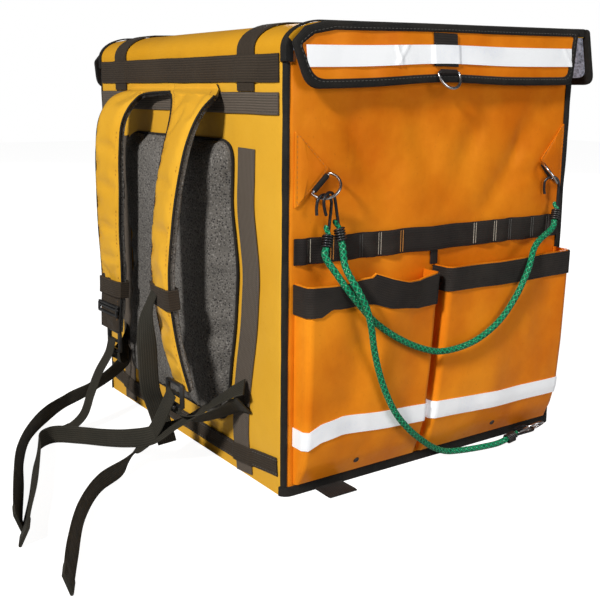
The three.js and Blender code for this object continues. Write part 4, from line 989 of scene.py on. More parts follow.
# Section of the folded tape: distance in from the edge, and lift
TAPE_SECTION = [
    (0.5, -0.2), (0.0, 0.8), (-0.3, 2.2), (0.0, 4.0), (0.9, 5.0), (4.0, 5.4), (7.4, 5.2), (8.2, 4.5),
    (8.2, 0.6), (7.4, -0.2), (4.0, -0.3),
]


def flap_frame(side, corners):
    outline = rounded_outline(corners)
    loops = []
    for inset, lift in TAPE_SECTION:
        loops.append([flap_point(side, u, v, lift) for u, v in drawn_in(outline, inset)])
    return loft(np.array(loops).transpose(1, 0, 2), closed=True)


def flap_panel(side, corners):
    """The cloth inside the frame, with its edge under the tape."""
    inset = FLAP_TAPE - 1.5
    corners = np.array(corners, float)
    top = corners[corners[:, 1] > -FLAP_DROP + 1]
    low = corners[corners[:, 1] <= -FLAP_DROP + 1]
    ends = [np.array([edge[:, 0].min() + inset, edge[:, 0].max() - inset]) for edge in (top, low)]
    order = np.argsort(top[:, 0])
    rows = []
    for t in np.linspace(0, 1, 14):
        first, last = (1 - t) * ends[0] + t * ends[1]
        row = []
        for u in np.linspace(first, last, 70):
            high = np.interp(u, top[order, 0], top[order, 1]) - inset
            row.append((u, high + t * (-FLAP_DROP + inset - high)))
        rows.append(row)

    def grid(lift, soft):
        return [[flap_point(side, u, v, lift + soft * ripple(u, v, 0.0, size=30.0, seed=5.0)) for u, v in row]
                for row in rows]

    return slab(grid(FLAP_THICK - 0.5, 0.8), grid(0.0, 0.0))


SIDES = {"right": side_corners("right"), "left": side_corners("left"), "front": FRONT_CORNERS}
for side, corners in SIDES.items():
    panel = build(f"flap_{side}", flap_panel(side, corners), [COVER, FOIL], "cover", [f"lid_flap_{side}"])
    build(f"flap_tape_{side}", flap_frame(side, corners), [BINDING], "binding", [f"flap_binding_{side}"])

# %% [markdown]
# ## Edge tape
#
# Folded tape covers the upright edges of the box, runs round its base and goes up over the side edges of
# the lid. On an upright edge it is a narrow ridge on the corner of the foam. Each tape is a section
# carried along its edge.

# %% Edge tape
EDGE_THICK = 2.0
# Where the tape starts and ends round the back and the front corners, in radians from the side
TAPE_TURNS = {-1: (0.45, 1.15), 1: (-0.3, 1.15)}
LID_TAPE = 7.0
BASE_TAPE_Z = 10.0
BACK_EDGE_TOP = SEAM_Z - GAP
FRONT_EDGE_TOP = LID_BACK_Z - FLAP_DROP + 10  # a little way up behind the flaps


def edge_tape(sx, sy, top):
    """Folded tape along an upright edge: a narrow ridge, a little uneven where it was sewn."""
    shares = np.linspace(0, 1, 9)
    first, last = TAPE_TURNS[sy]

    def grid(thick):
        rows = []
        for z in np.linspace(BASE_TAPE_Z + GAP, top, 70):
            uneven = 0.4 * thick * ripple(z, sx * 40.0, sy * 40.0, size=26.0)
            row = []
            for share in shares:
                turn = first + share * (last - first)
                reach = CORNER + GAP + thick * (0.3 + 0.7 * math.sin(share * math.pi)) + uneven
                around = max(turn, 0.0)
                before = min(turn, 0.0) * CORNER
                row.append((
                    sx * (HALF_W - CORNER + reach * math.cos(around)),
                    sy * (HALF_D - CORNER + reach * math.sin(around) + before), z))
            rows.append(row)
        return rows

    return slab(grid(EDGE_THICK), grid(0.0))


def base_tape():
    """Tape round the foot of three sides; the back panel's foot is bare."""
    def grid(offset):
        places = [p for p in perimeter(offset, 12.0) if p[3] > -0.99]
        return [[(x, y, z) for x, y, _, _ in places] for z in np.linspace(GAP, BASE_TAPE_Z, 5)]

    return slab(grid(GAP + EDGE_THICK), grid(GAP))


def lid_tape(side, sign):
    """Tape over a side edge of the lid; behind the flap it also wraps down the side."""
    rings = []
    last = [np.array(LID[-2]) * (1 - t) + np.array(LID[-1]) * t for t in np.linspace(0, 1, 12)]
    for y, z, wy, wz, _ in [*LID[:-2], *last]:
        bare = not SIDE_START[side] <= y <= SIDE_END[0] + 2
        edge, low = (1.6, -LID_TAPE) if bare else (-0.3, 0.5)
        section = [
            (-LID_TAPE, 0.3), (-LID_TAPE + 0.4, 1.5), (-LID_TAPE / 2, 1.9), (edge - 1.2, 1.7), (edge, 0.9),
            (edge, low), (edge - 1.2, low), (edge - 1.2, 0.3),
        ]
        rings.append([(sign * (HALF_W + a), y + wy * b, z + wz * b) for a, b in section])
    return loft(rings)


EDGES = {
    "back_right": (1, -1, BACK_EDGE_TOP), "back_left": (-1, -1, BACK_EDGE_TOP),
    "front_right": (1, 1, FRONT_EDGE_TOP), "front_left": (-1, 1, FRONT_EDGE_TOP),
}
for name, (sx, sy, top) in EDGES.items():
    build(f"edge_tape_{name}", edge_tape(sx, sy, top), [BINDING], "binding", [f"edge_binding_{name}"])
build("base_tape", base_tape(), [BINDING], "binding", ["base_binding"])
for side, sign in (("right", 1), ("left", -1)):
    build(f"lid_tape_{side}", lid_tape(side, sign), [BINDING], "binding")
print("edge tapes:", len(EDGES) + 3)

# %% [markdown]
# ## Sewn webbing
#
# Load webbing runs up the back panel and over the lid, and cross webbing holds it down. A band that
# crosses another one climbs over it, so each route rises at the crossings. The bands were sewn by hand
# and waver a little, and the load webbing on the right strays furthest.

# %% Sewn webbing
LOAD_WIDE, CROSS_WIDE = 30.0, 25.0
LOAD_X, LOAD_LOW_Z = 140.0, 2.5
LOWER_Z, UPPER_Z, BACK_TOP_Z = 20.0, 375.0, 333.0
LOWER_WIDE, LOWER_RISE, RISE_START = 19.0, 9.0, 118.0
HINGE_Z = 406.5
BACK_END = HALF_W - CORNER - GAP
LOW_LIFT = GAP + WEB_THICK / 2


def rising(x, rise):
    """How far a band across the back has risen at a place towards its ends."""
    return rise * np.clip((abs(x) - RISE_START) / (BACK_END - RISE_START), 0, 1)


def across_back(z, width, crossings, rise=0.0):
    """A band across the back panel that climbs over the bands it crosses, and may rise at its ends."""
    stations = []
    for x in np.linspace(-BACK_END, BACK_END, 160):
        lift = LOW_LIFT
        for middle in crossings:
            climb = np.clip((LOAD_WIDE / 2 + 5 - abs(x - middle)) / 4, 0, 1)
            lift = max(lift, LOW_LIFT + climb * (WEB_THICK + GAP))
        height = z + rising(x, rise) + 0.5 * ripple(x, z, 0, size=50.0)
        stations.append((x, -HALF_D - lift, height, 0, 0, 1))
    return band(stations, width, WEB_THICK)


# Height on the back panel, and how far the webbing and the pad's edge on the right stray sideways there
SWAY = [
    (8, -4), (35, -12), (72, -11), (110, -5), (153, 4),
    (212, 9.5), (246, 3.5), (275, -2), (305, 0), (335, 1),
]
SWAY_STEPS = (-12, -6, 0, 6, 12)


def sway(z):
    """The sideways stray at a height, averaged over a few steps so that it bends softly."""
    heights, moves = zip(*SWAY)
    return np.mean([np.interp(z + step, heights, moves) for step in SWAY_STEPS])


def load_x(x, z):
    """The middle of a load band at a height: the right one strays as in the photo, the left one a little."""
    return x + (sway(z) if x > 0 else 2.0 * ripple(z, x, 0, size=55.0))


def up_back(x):
    stations = []
    for z in np.linspace(LOAD_LOW_Z, BACK_TOP_Z, 90):
        stations.append((load_x(x, z), -HALF_D - LOW_LIFT, z, 1, 0, 0))
    return band(stations, LOAD_WIDE, WEB_THICK)


def over_lid(x):
    lift = 2 * GAP + WEB_THICK / 2
    foot = [(x, -HALF_D - lift, z) for z in np.linspace(UPPER_Z + TAIL_WIDE / 2 + 1, SEAM_Z - 2, 6)]
    path = foot + [lid_point(row, x, lift) for row in LID]
    return band([(*p, 1, 0, 0) for p in path], LOAD_WIDE, WEB_THICK)


LOADS = (-LOAD_X, LOAD_X)
build("hinge_webbing", across_back(HINGE_Z, CROSS_WIDE, LOADS), [WEBBING], "webbing", ["hinge_band"])
CROSSED = (-LOAD_X, LOAD_X + sway(LOWER_Z))
lower_band = across_back(LOWER_Z, LOWER_WIDE, CROSSED, LOWER_RISE)
build("lower_cross_webbing", lower_band, [WEBBING], "webbing", ["lower_back_webbing"])
upper_band = across_back(UPPER_Z, TAIL_WIDE, ())
build("upper_cross_webbing", upper_band, [LOAD_WEBBING], "webbing", ["upper_back_webbing"])
for side, x in zip(("left", "right"), LOADS):
    build(f"load_webbing_lid_{side}", over_lid(x), [WEBBING], "webbing", [f"lid_webbing_{side}"])
    build(f"load_webbing_back_{side}", up_back(x), [LOAD_WEBBING], "webbing", [f"back_webbing_{side}"])
print("sewn webbing: 7 bands")

# %% [markdown]
# ## Pockets
#
# Two box pockets stand off the pocket side. Each is one wall of cloth: a gusset, a front and another
# gusset, open at the top, narrow at the foot, with a black band round the mouth and reflective tape lower
# down. All of these share one surface, which is the wall's plan at a height, so the tape follows every
# bulge of the cloth under it.

# %% Pocket surface
POCKET_LOW_Z, POCKET_TOP_Z = 12.0, 210.0
POCKET_WALL = 2.0
STRIPE = 19.0
STRIPE_THICK = 0.8
POCKET_DEPTH = [(12, 5), (30, 14), (55, 20), (110, 23), (180, 24)]
POCKET_CHAMFER = 4.0
# Edges low and high, heights of the mouth and of its band along it, how far it gapes, middle of the stripe
POCKETS = {
    "left": {
        "edges": ((-181.5, -181.5), (-28.5, -18.5)),
        "mouth": [
            (0, 212), (0.21, 211), (0.36, 213), (0.455, 214.5), (0.475, 218), (0.58, 212), (0.7, 207),
            (0.82, 206), (1, 210),
        ],
        "band": [
            (0, 28), (0.07, 28), (0.15, 21), (0.36, 24), (0.455, 25.5), (0.475, 29.5), (0.58, 29),
            (0.7, 26), (1, 31),
        ],
        "gape": 8.0,
        "stripe": [(0, 61), (0.1, 67), (0.28, 70), (0.55, 66), (1, 62)],
    },
    "right": {
        "edges": ((-22.5, -6), (180, 181.5)),
        "mouth": [(0, 213.5), (0.4, 213), (0.65, 214), (1, 215.5)],
        "band": [(0, 24), (1, 25.5)],
        "gape": 0.0,
        "stripe": [(0, 61.5), (0.3, 58), (0.6, 56), (1, 55.5)],
    },
}
GAPE_AT, GAPE_RUN = 0.7, 0.2  # where the mouth stands off most, and over what share of it
GAPE_LOW_Z, GAPE_TALL = 130.0, 80.0
# Plan of the wall: share of the front, reach from the face, then how an offset and the chamfer act
PLAN = [
    (0, 0, -1, 0, 0, 0), (0, 1, -1, 0.4, 1, 0), (0, 1, -0.4, 1, 0, 1), (0.25, 1, 0, 1, 0, 0),
    (0.5, 1, 0, 1, 0, 0), (0.75, 1, 0, 1, 0, 0), (1, 1, 0.4, 1, 0, -1), (1, 1, 1, 0.4, 1, 0),
    (1, 0, 1, 0, 0, 0),
]
COLUMNS = np.concatenate([
    np.linspace(0, 1, 5), np.linspace(1, 2, 4)[1:], np.linspace(2, 6, 45)[1:], np.linspace(6, 7, 4)[1:],
    np.linspace(7, 8, 5)[1:],
])


def column_share(column):
    return float(np.interp(column, range(len(PLAN)), [p[0] for p in PLAN]))


def level_of(pocket, label):
    """A row of levels of a pocket, as a function of the share along its front."""
    return lambda share: float(np.interp(share, *zip(*pocket[label])))


def pocket_bulge(pocket, column, z):
    """Soft waves of the front, still at its foot and at its corners."""
    start = pocket["edges"][0][0]
    share = column_share(column)
    held = np.clip((z - 16) / 30, 0, 1) * math.sin(math.pi * np.clip((column - 2) / 4, 0, 1)) ** 0.7
    waves = 2.2 * ripple(share * 160 + start, z / 2, 0, size=34.0, seed=2.0)
    drape = 1.4 * math.sin(share * 11 + start) * np.clip(z / POCKET_TOP_Z, 0, 1)
    along = math.exp(-((share - GAPE_AT) / GAPE_RUN) ** 2)
    gape = pocket["gape"] * along * np.clip((z - GAPE_LOW_Z) / GAPE_TALL, 0, 1) ** 1.5
    return held * (waves + drape + gape)


def pocket_corner(pocket, plan, z, offset):
    share, reach, side, out, set_back, inward = plan
    depth = np.interp(z, *zip(*POCKET_DEPTH))
    chamfer = min(POCKET_CHAMFER, depth * 0.4)
    first, last = (low + (high - low) * z / POCKET_TOP_Z for low, high in pocket["edges"])
    x = HALF_W + (depth - set_back * chamfer + out * offset if reach else GAP)
    return np.array([x, first + (last - first) * share + inward * chamfer + side * offset, z])


def pocket_point(pocket, column, z, offset):
    low = min(int(column), len(PLAN) - 2)
    start, end = (pocket_corner(pocket, PLAN[i], z, offset) for i in (low, low + 1))
    point = start + (end - start) * (column - low)
    point[0] += pocket_bulge(pocket, column, z)
    return point


def pocket_grid(pocket, low, high, offset, rows):
    """Rows of points on a pocket between two levels along it."""
    grid = []
    for rise in np.linspace(0, 1, rows):
        row = []
        for column in COLUMNS:
            share = column_share(column)
            z = low(share) + rise * (high(share) - low(share))
            row.append(pocket_point(pocket, column, z, offset))
        grid.append(row)
    return grid


def pocket_wall(pocket, mouth):
    def foot(share):
        return POCKET_LOW_Z

    return slab(*(pocket_grid(pocket, foot, mouth, offset, 40) for offset in (0.0, -POCKET_WALL)))


def pocket_tape(pocket, low, high, thick):
    """Tape round the outside of a pocket between two levels along it."""
    return slab(*(pocket_grid(pocket, low, high, offset, 7) for offset in (GAP + thick, GAP)))


print("corners in a pocket's plan:", len(PLAN))

# %% Pockets
for side, pocket in POCKETS.items():
    mouth, deep, stripe = (level_of(pocket, label) for label in ("mouth", "band", "stripe"))
    wall = pocket_wall(pocket, mouth)
    mouth_band = pocket_tape(pocket, lambda s: mouth(s) - 1 - deep(s), lambda s: mouth(s) - 1, WEB_THICK)
    reflector = pocket_tape(
        pocket, lambda s: stripe(s) - STRIPE / 2, lambda s: stripe(s) + STRIPE / 2, STRIPE_THICK)
    build(f"pocket_cloth_{side}", wall, [COVER, COVER], "cover", [f"pocket_{side}"])
    build(f"pocket_mouth_band_{side}", mouth_band, [BLACK_WEBBING], "webbing", [f"pocket_band_{side}"])
    build(f"pocket_reflector_{side}", reflector, [TAPE], "tape", [f"pocket_stripe_{side}"])
print("pockets:", ", ".join(POCKETS))

# %% [markdown]
# ## Loop strip
#
# One band of webbing is tacked down across the pocket side in a few places. Between two tacks it stands
# off a little, so that gear can be hung from it. Its lift is a smooth bulge that is zero at each tack.

# %% Loop strip
LOOP_Z = 241.5
LOOP_TACKS = [-180, -167, -140, -105, -81.5, -53, 49.5, 80, 103, 139, 164, 180]
LOOP_BULGE = 2.5
SIDE_SPAN = HALF_D - CORNER - 1


def loop_lift(y):
    for start, end in zip(LOOP_TACKS, LOOP_TACKS[1:]):
        if start <= y <= end:
            return LOOP_BULGE * math.sin((y - start) / (end - start) * math.pi) ** 1.4
    return 0.0


loop_route = [
    (HALF_W + LOW_LIFT + loop_lift(y), y, LOOP_Z + 0.8 * ripple(y, 0, 0, size=30.0), 0, 0, 1)
    for y in np.linspace(-SIDE_SPAN, SIDE_SPAN, 190)
]
build("loop_webbing", band(loop_route, CROSS_WIDE, WEB_THICK), [BLACK_WEBBING], "webbing", ["loop_strip"])
DIVIDER_LOW, DIVIDER_HIGH = (node_box("pocket_divider")[i][2] for i in (0, 1))
DIVIDER_WIDE = 10.0
DIVIDER_Y = -7.5
heights = np.linspace(DIVIDER_LOW, DIVIDER_HIGH, 8)
divider_route = [(HALF_W + LOW_LIFT, DIVIDER_Y, z, 0, 1, 0) for z in heights]
divider = band(divider_route, DIVIDER_WIDE, WEB_THICK)
build("divider_webbing", divider, [BLACK_WEBBING], "webbing", ["pocket_divider"])
print("loops between tacks:", len(LOOP_TACKS) - 1)

# %% [markdown]
# ## Shoulder straps and back pad
#
# A strap is foam between coated cloth, on the outside, and spacer mesh, on the side that touches the
# wearer, with a fine piping along the seam. The two straps share a yoke under the upper webbing. The
# sections follow those of the solids and are drawn closer to the photograph. A cloth simulation then
# swells the faces between the pinned seams, as foam does.

# %% Straps and pad
# Distance out from the panel, height, edges from the centre line, thickness
STRAPS = {
    "right": [
        (2.2, 392.5, 0.2, 88, 3), (2.4, 388, 0.2, 92, 3), (8, 383.5, 0.2, 100, 5),
        (12.5, 379.5, 10, 106, 7), (25, 366, 31, 108, 9), (35.8, 346, 43, 107.5, 10),
        (42.7, 329, 48, 108, 11), (52.3, 291, 51, 108.5, 11), (58.6, 252, 55, 108.5, 11),
        (64, 204, 61, 111, 11), (60.6, 153, 68.5, 115.5, 11), (56.6, 122, 75.5, 120.5, 10),
        (52.4, 97, 82, 126, 8.5),
    ],
    "left": [
        (2.2, 392.5, 0.2, 110, 3), (2.4, 388, 0.2, 110, 3), (8, 383.5, 0.2, 109.5, 5),
        (13, 381, 42, 109, 7), (27, 373, 48, 108, 8.5), (39.7, 353, 51, 107.5, 9),
        (44.5, 320, 51, 107.5, 9.5), (45.4, 276, 52, 108, 9.5), (45.1, 230, 56, 108, 9.5),
        (43.1, 195, 59, 109, 9.5), (42.1, 165, 62, 110, 9.5), (43.7, 135, 65, 111, 9),
        (44.4, 112, 68, 112, 7.5),
    ],
}
STRAP_SIGN = {"right": 1, "left": -1}
STRAP_TILT = {"right": math.radians(8), "left": math.radians(3)}  # the outer edges stand further out
STRAP_STEPS = 8
STRAP_SHARES = np.concatenate([[0, 0.03, 0.08], np.linspace(0.15, 0.85, 9), [0.92, 0.97, 1]])
STRAP_MEET = 0.2  # the straps meet at the centre line along the yoke
STRAP_TILT_ROWS = (2, 5)  # they tilt between these rows of the table
# The black sheet on the underside near the yoke is painted shade.
SHADE_SHEET_ROWS = 4.5  # lining covers the underside down to this row
WEB_END_Z = {"right": 0.0, "left": 165.0}  # webbing covers the outer face below this height
WEB_END_SLANT = 14.0
PIPING = 1.3


def strap_rows(side):
    """Fine rows of a strap's table; the first two columns are its line, so they come first."""
    table = np.array(STRAPS[side], float)
    rows = np.column_stack([table[:, 0], table[:, 1], np.zeros(len(table)), table[:, 2:]])
    fine = np.delete(smooth_rows(rows, STRAP_STEPS), 2, axis=1)
    fine[:, 2] = np.maximum(fine[:, 2], STRAP_MEET)
    return fine


def strap_fill(share):
    """Thickness of the section across the strap, from its seams to its middle."""
    return 0.5 + 0.5 * (1 - abs(2 * share - 1) ** 7)


def strap_point(side, rows, row, share, face, grow=0.0):
    """A point on a strap's section: face is 1 outside and -1 inside, grow moves it outwards."""
    out, z, inner, outer, thick = rows[row]
    before, after = rows[max(row - 1, 0)], rows[min(row + 1, len(rows) - 1)]
    way = unit((after[0] - before[0], after[1] - before[1]))
    sign = STRAP_SIGN[side]
    aside = (2 * share - 1) * ((outer - inner) / 2 + grow)
    lift = face * (thick / 2 * strap_fill(share) + grow)
    tilt_start, tilt_end = STRAP_TILT_ROWS
    blend = np.clip((row / STRAP_STEPS - tilt_start) / (tilt_end - tilt_start), 0, 1)
    reach = out - way[1] * lift + math.tan(STRAP_TILT[side]) * blend**2 * (3 - 2 * blend) * aside
    return (sign * ((inner + outer) / 2 + aside), -HALF_D - reach, z + way[0] * lift)


def strap_shape(side):
    rows = strap_rows(side)
    rings = []
    for row in range(len(rows)):
        outside = [strap_point(side, rows, row, s, 1) for s in STRAP_SHARES]
        inside = [strap_point(side, rows, row, s, -1) for s in STRAP_SHARES[::-1]]
        rings.append(outside + inside)
    points, faces, uvs, _ = loft(rings)
    return points, faces, uvs, [strap_finish(side, rows, face) for face in faces]


def strap_finish(side, rows, face):
    """Which finish a face of the strap gets: cover, mesh, black sheet of painted shade, or webbing."""
    count = 2 * len(STRAP_SHARES)
    row, place = divmod(face[0], count)
    if len(face) < 4:
        return 1
    if place >= len(STRAP_SHARES) - 1:
        return 2 if row < SHADE_SHEET_ROWS * STRAP_STEPS else 1
    slant = WEB_END_SLANT * STRAP_SHARES[place]
    return 3 if rows[row][1] < WEB_END_Z[side] + slant else 0


def seam_paths(side):
    """The seams along the outer face of a strap, from the yoke's lower edge."""
    rows = strap_rows(side)
    starts = {0.0: 2 * STRAP_STEPS, 1.0: 3 * STRAP_STEPS}
    return [np.array([strap_point(side, rows, row, share, 1, 0.2) for row in range(start, len(rows))])
            for share, start in starts.items()]


PAD_LOW, PAD_HIGH = node_box("back_pad")
PAD_CORNER = 22.0
# Lift from the panel and distance in from the edge
PAD_SECTIONS = [
    (GAP, 0), (2.5, 0), (5, 0.3), (7.5, 1.5), (9.5, 4), (11, 8), (12, 14), (12.7, 22), (13, 32), (13.2, 44),
    (13.3, 58), (13.3, 74), (13.3, 92), (13.3, 108),
]


def pad_outline(inset, spacing=6.0):
    low, high = PAD_LOW[[0, 2]] + inset, PAD_HIGH[[0, 2]] - inset
    radius = max(1.0, PAD_CORNER - inset * 0.2)
    corners = ((low[0], low[1]), (high[0], low[1]), (high[0], high[1]), (low[0], high[1]))
    return rounded_outline([(u, v, radius) for u, v in corners], spacing)


def pad_x(u, v):
    """The pad's right edge strays with the webbing beside it, its left edge is straight."""
    return u + sway(v) * (u - PAD_LOW[0]) / (PAD_HIGH[0] - PAD_LOW[0])


def pad_shape():
    """Rings from the seam to the middle; the first outline sets the number of points."""
    base = pad_outline(0)
    middle = (PAD_LOW[[0, 2]] + PAD_HIGH[[0, 2]]) / 2
    half = (PAD_HIGH[[0, 2]] - PAD_LOW[[0, 2]]) / 2
    rings = []
    for lift, inset in PAD_SECTIONS:
        ring = middle + (base - middle) * (1 - inset / half)
        rings.append([(pad_x(u, v), -HALF_D - lift, v) for u, v in ring])
    return loft(rings)


# The straps' outer faces take the back panel's yellower copy of the cloth: painted light.
STRAP_FINISHES = [LIT_BACK_COVER, MESH, SHADE_SHEET, WEBBING]
straps = {}
for side in STRAPS:
    shape = strap_shape(side)
    straps[side] = build(f"padded_strap_{side}", shape, STRAP_FINISHES, "cover", [f"shoulder_strap_{side}"])
pad = build("mesh_pad", pad_shape(), [MESH], "mesh", ["back_pad"])
print("padded pieces:", len(straps) + 1)

# %% [markdown]
# The simulation pins the seams and the ends and lets the rest swell under a little pressure, with gravity
# off. The cloth is also a few percent too big for its place, which makes the shallow wrinkles of real
# padding. No point may move further than the cap, so the padding stays clear of its neighbours.

# %% Swell the padding
FRAMES = 20
PRESSURE = 4.0
SPARE = -0.035


def pin(piece, is_held):
    group = piece.vertex_groups.new(name="seams")
    group.add([v.index for v in piece.data.vertices if is_held(v.index, v.co / MM)], 1.0, "REPLACE")


def add_cloth(piece):
    cloth = piece.modifiers.new("padding", "CLOTH")
    settings = cloth.settings
    settings.quality = 6
    settings.mass = 0.25
    settings.use_pressure = True
    settings.uniform_pressure_force = PRESSURE
    settings.shrink_min = SPARE
    settings.bending_stiffness = 2.0
    settings.effector_weights.gravity = 0.0
    settings.vertex_group_mass = "seams"
    cloth.point_cache.frame_start = 1
    cloth.point_cache.frame_end = FRAMES


def settle(piece, cap):
    """Keeps the simulated shape, with each point's move capped, and removes the modifier."""
    depsgraph = bpy.context.evaluated_depsgraph_get()
    result = piece.evaluated_get(depsgraph).to_mesh()
    start = np.array([v.co for v in piece.data.vertices])
    move = np.array([v.co for v in result.vertices]) - start
    size = np.linalg.norm(move, axis=1, keepdims=True)
    move *= np.minimum(1.0, cap * MM / np.maximum(size, 1e-9))
    piece.evaluated_get(depsgraph).to_mesh_clear()
    piece.modifiers.clear()
    piece.vertex_groups.clear()
    piece.data.vertices.foreach_set("co", (start + move).ravel())
    piece.data.update()
    return size.max() / MM


STRAP_CAP, PAD_CAP = 2.5, 6.0
around = np.concatenate([STRAP_SHARES, STRAP_SHARES[::-1]])
ring = len(around)
edges = [k for k, share in enumerate(around) if min(share, 1 - share) < 0.04]
for side in straps:
    count = len(strap_rows(side))
    pin(straps[side], lambda i, p, count=count: (
        i % ring in edges or i < 3 * STRAP_STEPS * ring or i >= (count - 2) * ring))
pin(pad, lambda i, p: p.y > -HALF_D - 4)
for piece in (*straps.values(), pad):
    add_cloth(piece)
for step in range(1, FRAMES + 1):
    bpy.context.scene.frame_set(step)
moved = {p.name: round(settle(p, PAD_CAP if p is pad else STRAP_CAP), 1) for p in (*straps.values(), pad)}
bpy.context.scene.frame_set(1)
print("swelled by up to", moved, "mm before the cap")
for side in straps:
    for edge, seam in zip(("inner", "outer"), seam_paths(side)):
        build(f"strap_piping_{side}_{edge}", tube(seam, PIPING, 8), [BINDING], "binding")
pad_seam = np.array([(pad_x(u, v), -HALF_D - 1.8, v) for u, v in pad_outline(-0.6, 5.0)])
build("mesh_pad_piping", tube(pad_seam, 1.6, 8, closed=True), [BINDING], "binding")

# %% [markdown]
# ## Chest loops and ladder locks
#
# A band sewn round each strap carries the chest strap. At the strap's end a ladder lock grips the
# adjuster: a frame with a bar across its middle. Its bars are rounded, as moulded bars are, and the lower
# one has a lip to lift.

# %% Chest loops and ladder locks
STERNUM = {"right": (9.1, 9.5), "left": (9.8, 10.4)}  # places along the strap's table
for side, (start, end) in STERNUM.items():
    rows = strap_rows(side)
    shares = np.linspace(0, 1, 15)
    picked = range(round(start * STRAP_STEPS), round(end * STRAP_STEPS) + 1)

    def around(grow):
        return [[strap_point(side, rows, row, s, 1, grow) for s in shares]
                + [strap_point(side, rows, row, s, -1, grow) for s in shares[::-1]] for row in picked]

    loop = slab(around(GAP + WEB_THICK + 1), around(GAP), loop=True)
    build(f"chest_loop_{side}", loop, [WEBBING], "webbing", [f"sternum_loop_{side}"])

LOCK_BAR = 3.2
LIP_OUT, LIP_INSET = 2.2, 9.0
LIP_WIDE, LIP_THICK = 4.0, 3.5


def rounded_bar(start, end, wide, thick):
    """A bar with a rounded rectangular section between two points on the back panel's side."""
    start, end = np.array(start, float), np.array(end, float)
    way = unit(end - start)
    out = np.array([0.0, -1.0, 0.0])
    side = np.cross(way, out)
    turns = np.linspace(0, TURN, 16, endpoint=False)
    ring = [side * wide / 2 * np.sign(math.cos(t)) * abs(math.cos(t)) ** 0.5
            + out * thick / 2 * np.sign(math.sin(t)) * abs(math.sin(t)) ** 0.5 for t in turns]
    ends = [(0.0, 0.6), (0.6, 0.9), (1.2, 1.0)]
    length = np.linalg.norm(end - start)
    places = ends + [(length - d, s) for d, s in ends[::-1]]
    return loft([[start + way * d + r * s for r in ring] for d, s in places])


# The right lock hangs higher and further out than its solid
LOCK_PULL = {"right": np.array([-2.0, -12.2, 7.6]), "left": np.zeros(3)}
for side in STRAPS:
    low, high = (corner + LOCK_PULL[side] for corner in node_box(f"ladder_lock_{side}"))
    y = (low[1] + high[1]) / 2
    thick = high[1] - low[1]
    rail = LOCK_BAR + 0.8
    bars = []
    for x in (low[0] + rail / 2, high[0] - rail / 2):
        bars.append(rounded_bar((x, y, low[2] + 0.5), (x, y, high[2] - 0.5), rail, thick))
    for z in (low[2] + LOCK_BAR / 2, (low[2] + high[2]) / 2, high[2] - LOCK_BAR / 2):
        bars.append(rounded_bar((low[0] + 1, y, z), (high[0] - 1, y, z), LOCK_BAR, thick * 0.85))
    lip_y, lip_z = low[1] - LIP_OUT, low[2] + LOCK_BAR / 2 - 1
    lip_ends = [(x, lip_y, lip_z) for x in (low[0] + LIP_INSET, high[0] - LIP_INSET)]
    bars.append(rounded_bar(*lip_ends, LIP_WIDE, LIP_THICK))
    build(f"strap_buckle_{side}", together(*bars), [PLASTIC], "plastic", [f"ladder_lock_{side}"])

# A slider on the webbing that covers the end of the left strap
SLIDER_ROWS = (10.7, 10.9, 11.1)  # places of its bars along the left strap's table
SLIDER_THICK = 3.0


def slider_place(row, share):
    return strap_point("left", strap_rows("left"), round(row * STRAP_STEPS), share, 1, SLIDER_THICK)


slider = []
for share in (0.08, 0.92):
    ends = [slider_place(row, share) for row in (SLIDER_ROWS[-1], SLIDER_ROWS[0])]
    slider.append(rounded_bar(*ends, LOCK_BAR, SLIDER_THICK))
for row in SLIDER_ROWS:
    slider.append(rounded_bar(slider_place(row, 0.04), slider_place(row, 0.96), LOCK_BAR, SLIDER_THICK))
build("strap_slider_left", together(*slider), [PLASTIC], "plastic")
print("ladder locks:", len(STRAPS), "and one slider")

# %% [markdown]
# ## Ring patches and D-rings
#
# Sewn patches in the upper corners of the pocket side spread the pull of the cords. Each holds a D-ring
# along its slanted edge, in a short sleeve of tape. A ring is a closed tube round a straight bar and a
# round bow.

# %% Ring patches and D-rings
RING_WIRE = 1.8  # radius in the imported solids
RING_THIN = 1.45  # radius of the wire that shows
RING_HALF = 14.0
RING_SHOULDER, FLAP_RING_SHOULDER = 6.0, 3.0
PATCHES = {
    "left": [(-183, 352), (-144, 317), (-169, 294), (-183, 281)],
    "right": [(183, 356), (147, 316), (170, 293), (183, 283)],
}
PATCH_THICK = 1.2
# Section of a patch: distance in from its edge, and lift as a share of its thickness
PATCH_SECTION = [(0, 0), (0, 0.7), (1.2, 1), (2.6, 0.7), (4, 1), (9, 1.25)]
PATCH_TILT = math.radians(60)


def ring_shape(centre, bar, bow, shoulder):
    corner = 2.0
    flat = [(a, 0.0) for a in np.linspace(-RING_HALF + corner, RING_HALF - corner, 9)]
    flat += [(RING_HALF - corner * 0.3, corner * 0.3), (RING_HALF, corner)]
    turns = np.linspace(0, math.pi, 25)
    flat += [(RING_HALF * math.cos(t), shoulder + RING_HALF * math.sin(t)) for t in turns]
    flat += [(-RING_HALF, corner), (-RING_HALF + corner * 0.3, corner * 0.3)]
    centre, bar, bow = (np.asarray(v, float) for v in (centre, bar, bow))
    return tube([centre + bar * a + bow * b for a, b in flat], RING_THIN, 12, closed=True)


def keeper(centre, bar, length, radius):
    """A sleeve of tape round a ring's bar."""
    places = np.linspace(-length / 2, length / 2, 7)
    return tube([np.asarray(centre) + np.asarray(bar) * a for a in places], radius, 14)


def patch_shape(outline):
    """A flat patch with rounded corners, a little puffed at its seams."""
    points = rounded_outline([(y, z, 3) for y, z in outline], 4.0)
    loops = []
    for inset, share in PATCH_SECTION:
        x = HALF_W + GAP + share * PATCH_THICK
        loops.append([(x, y, z) for y, z in drawn_in(points, inset)])
    return loft(loops)


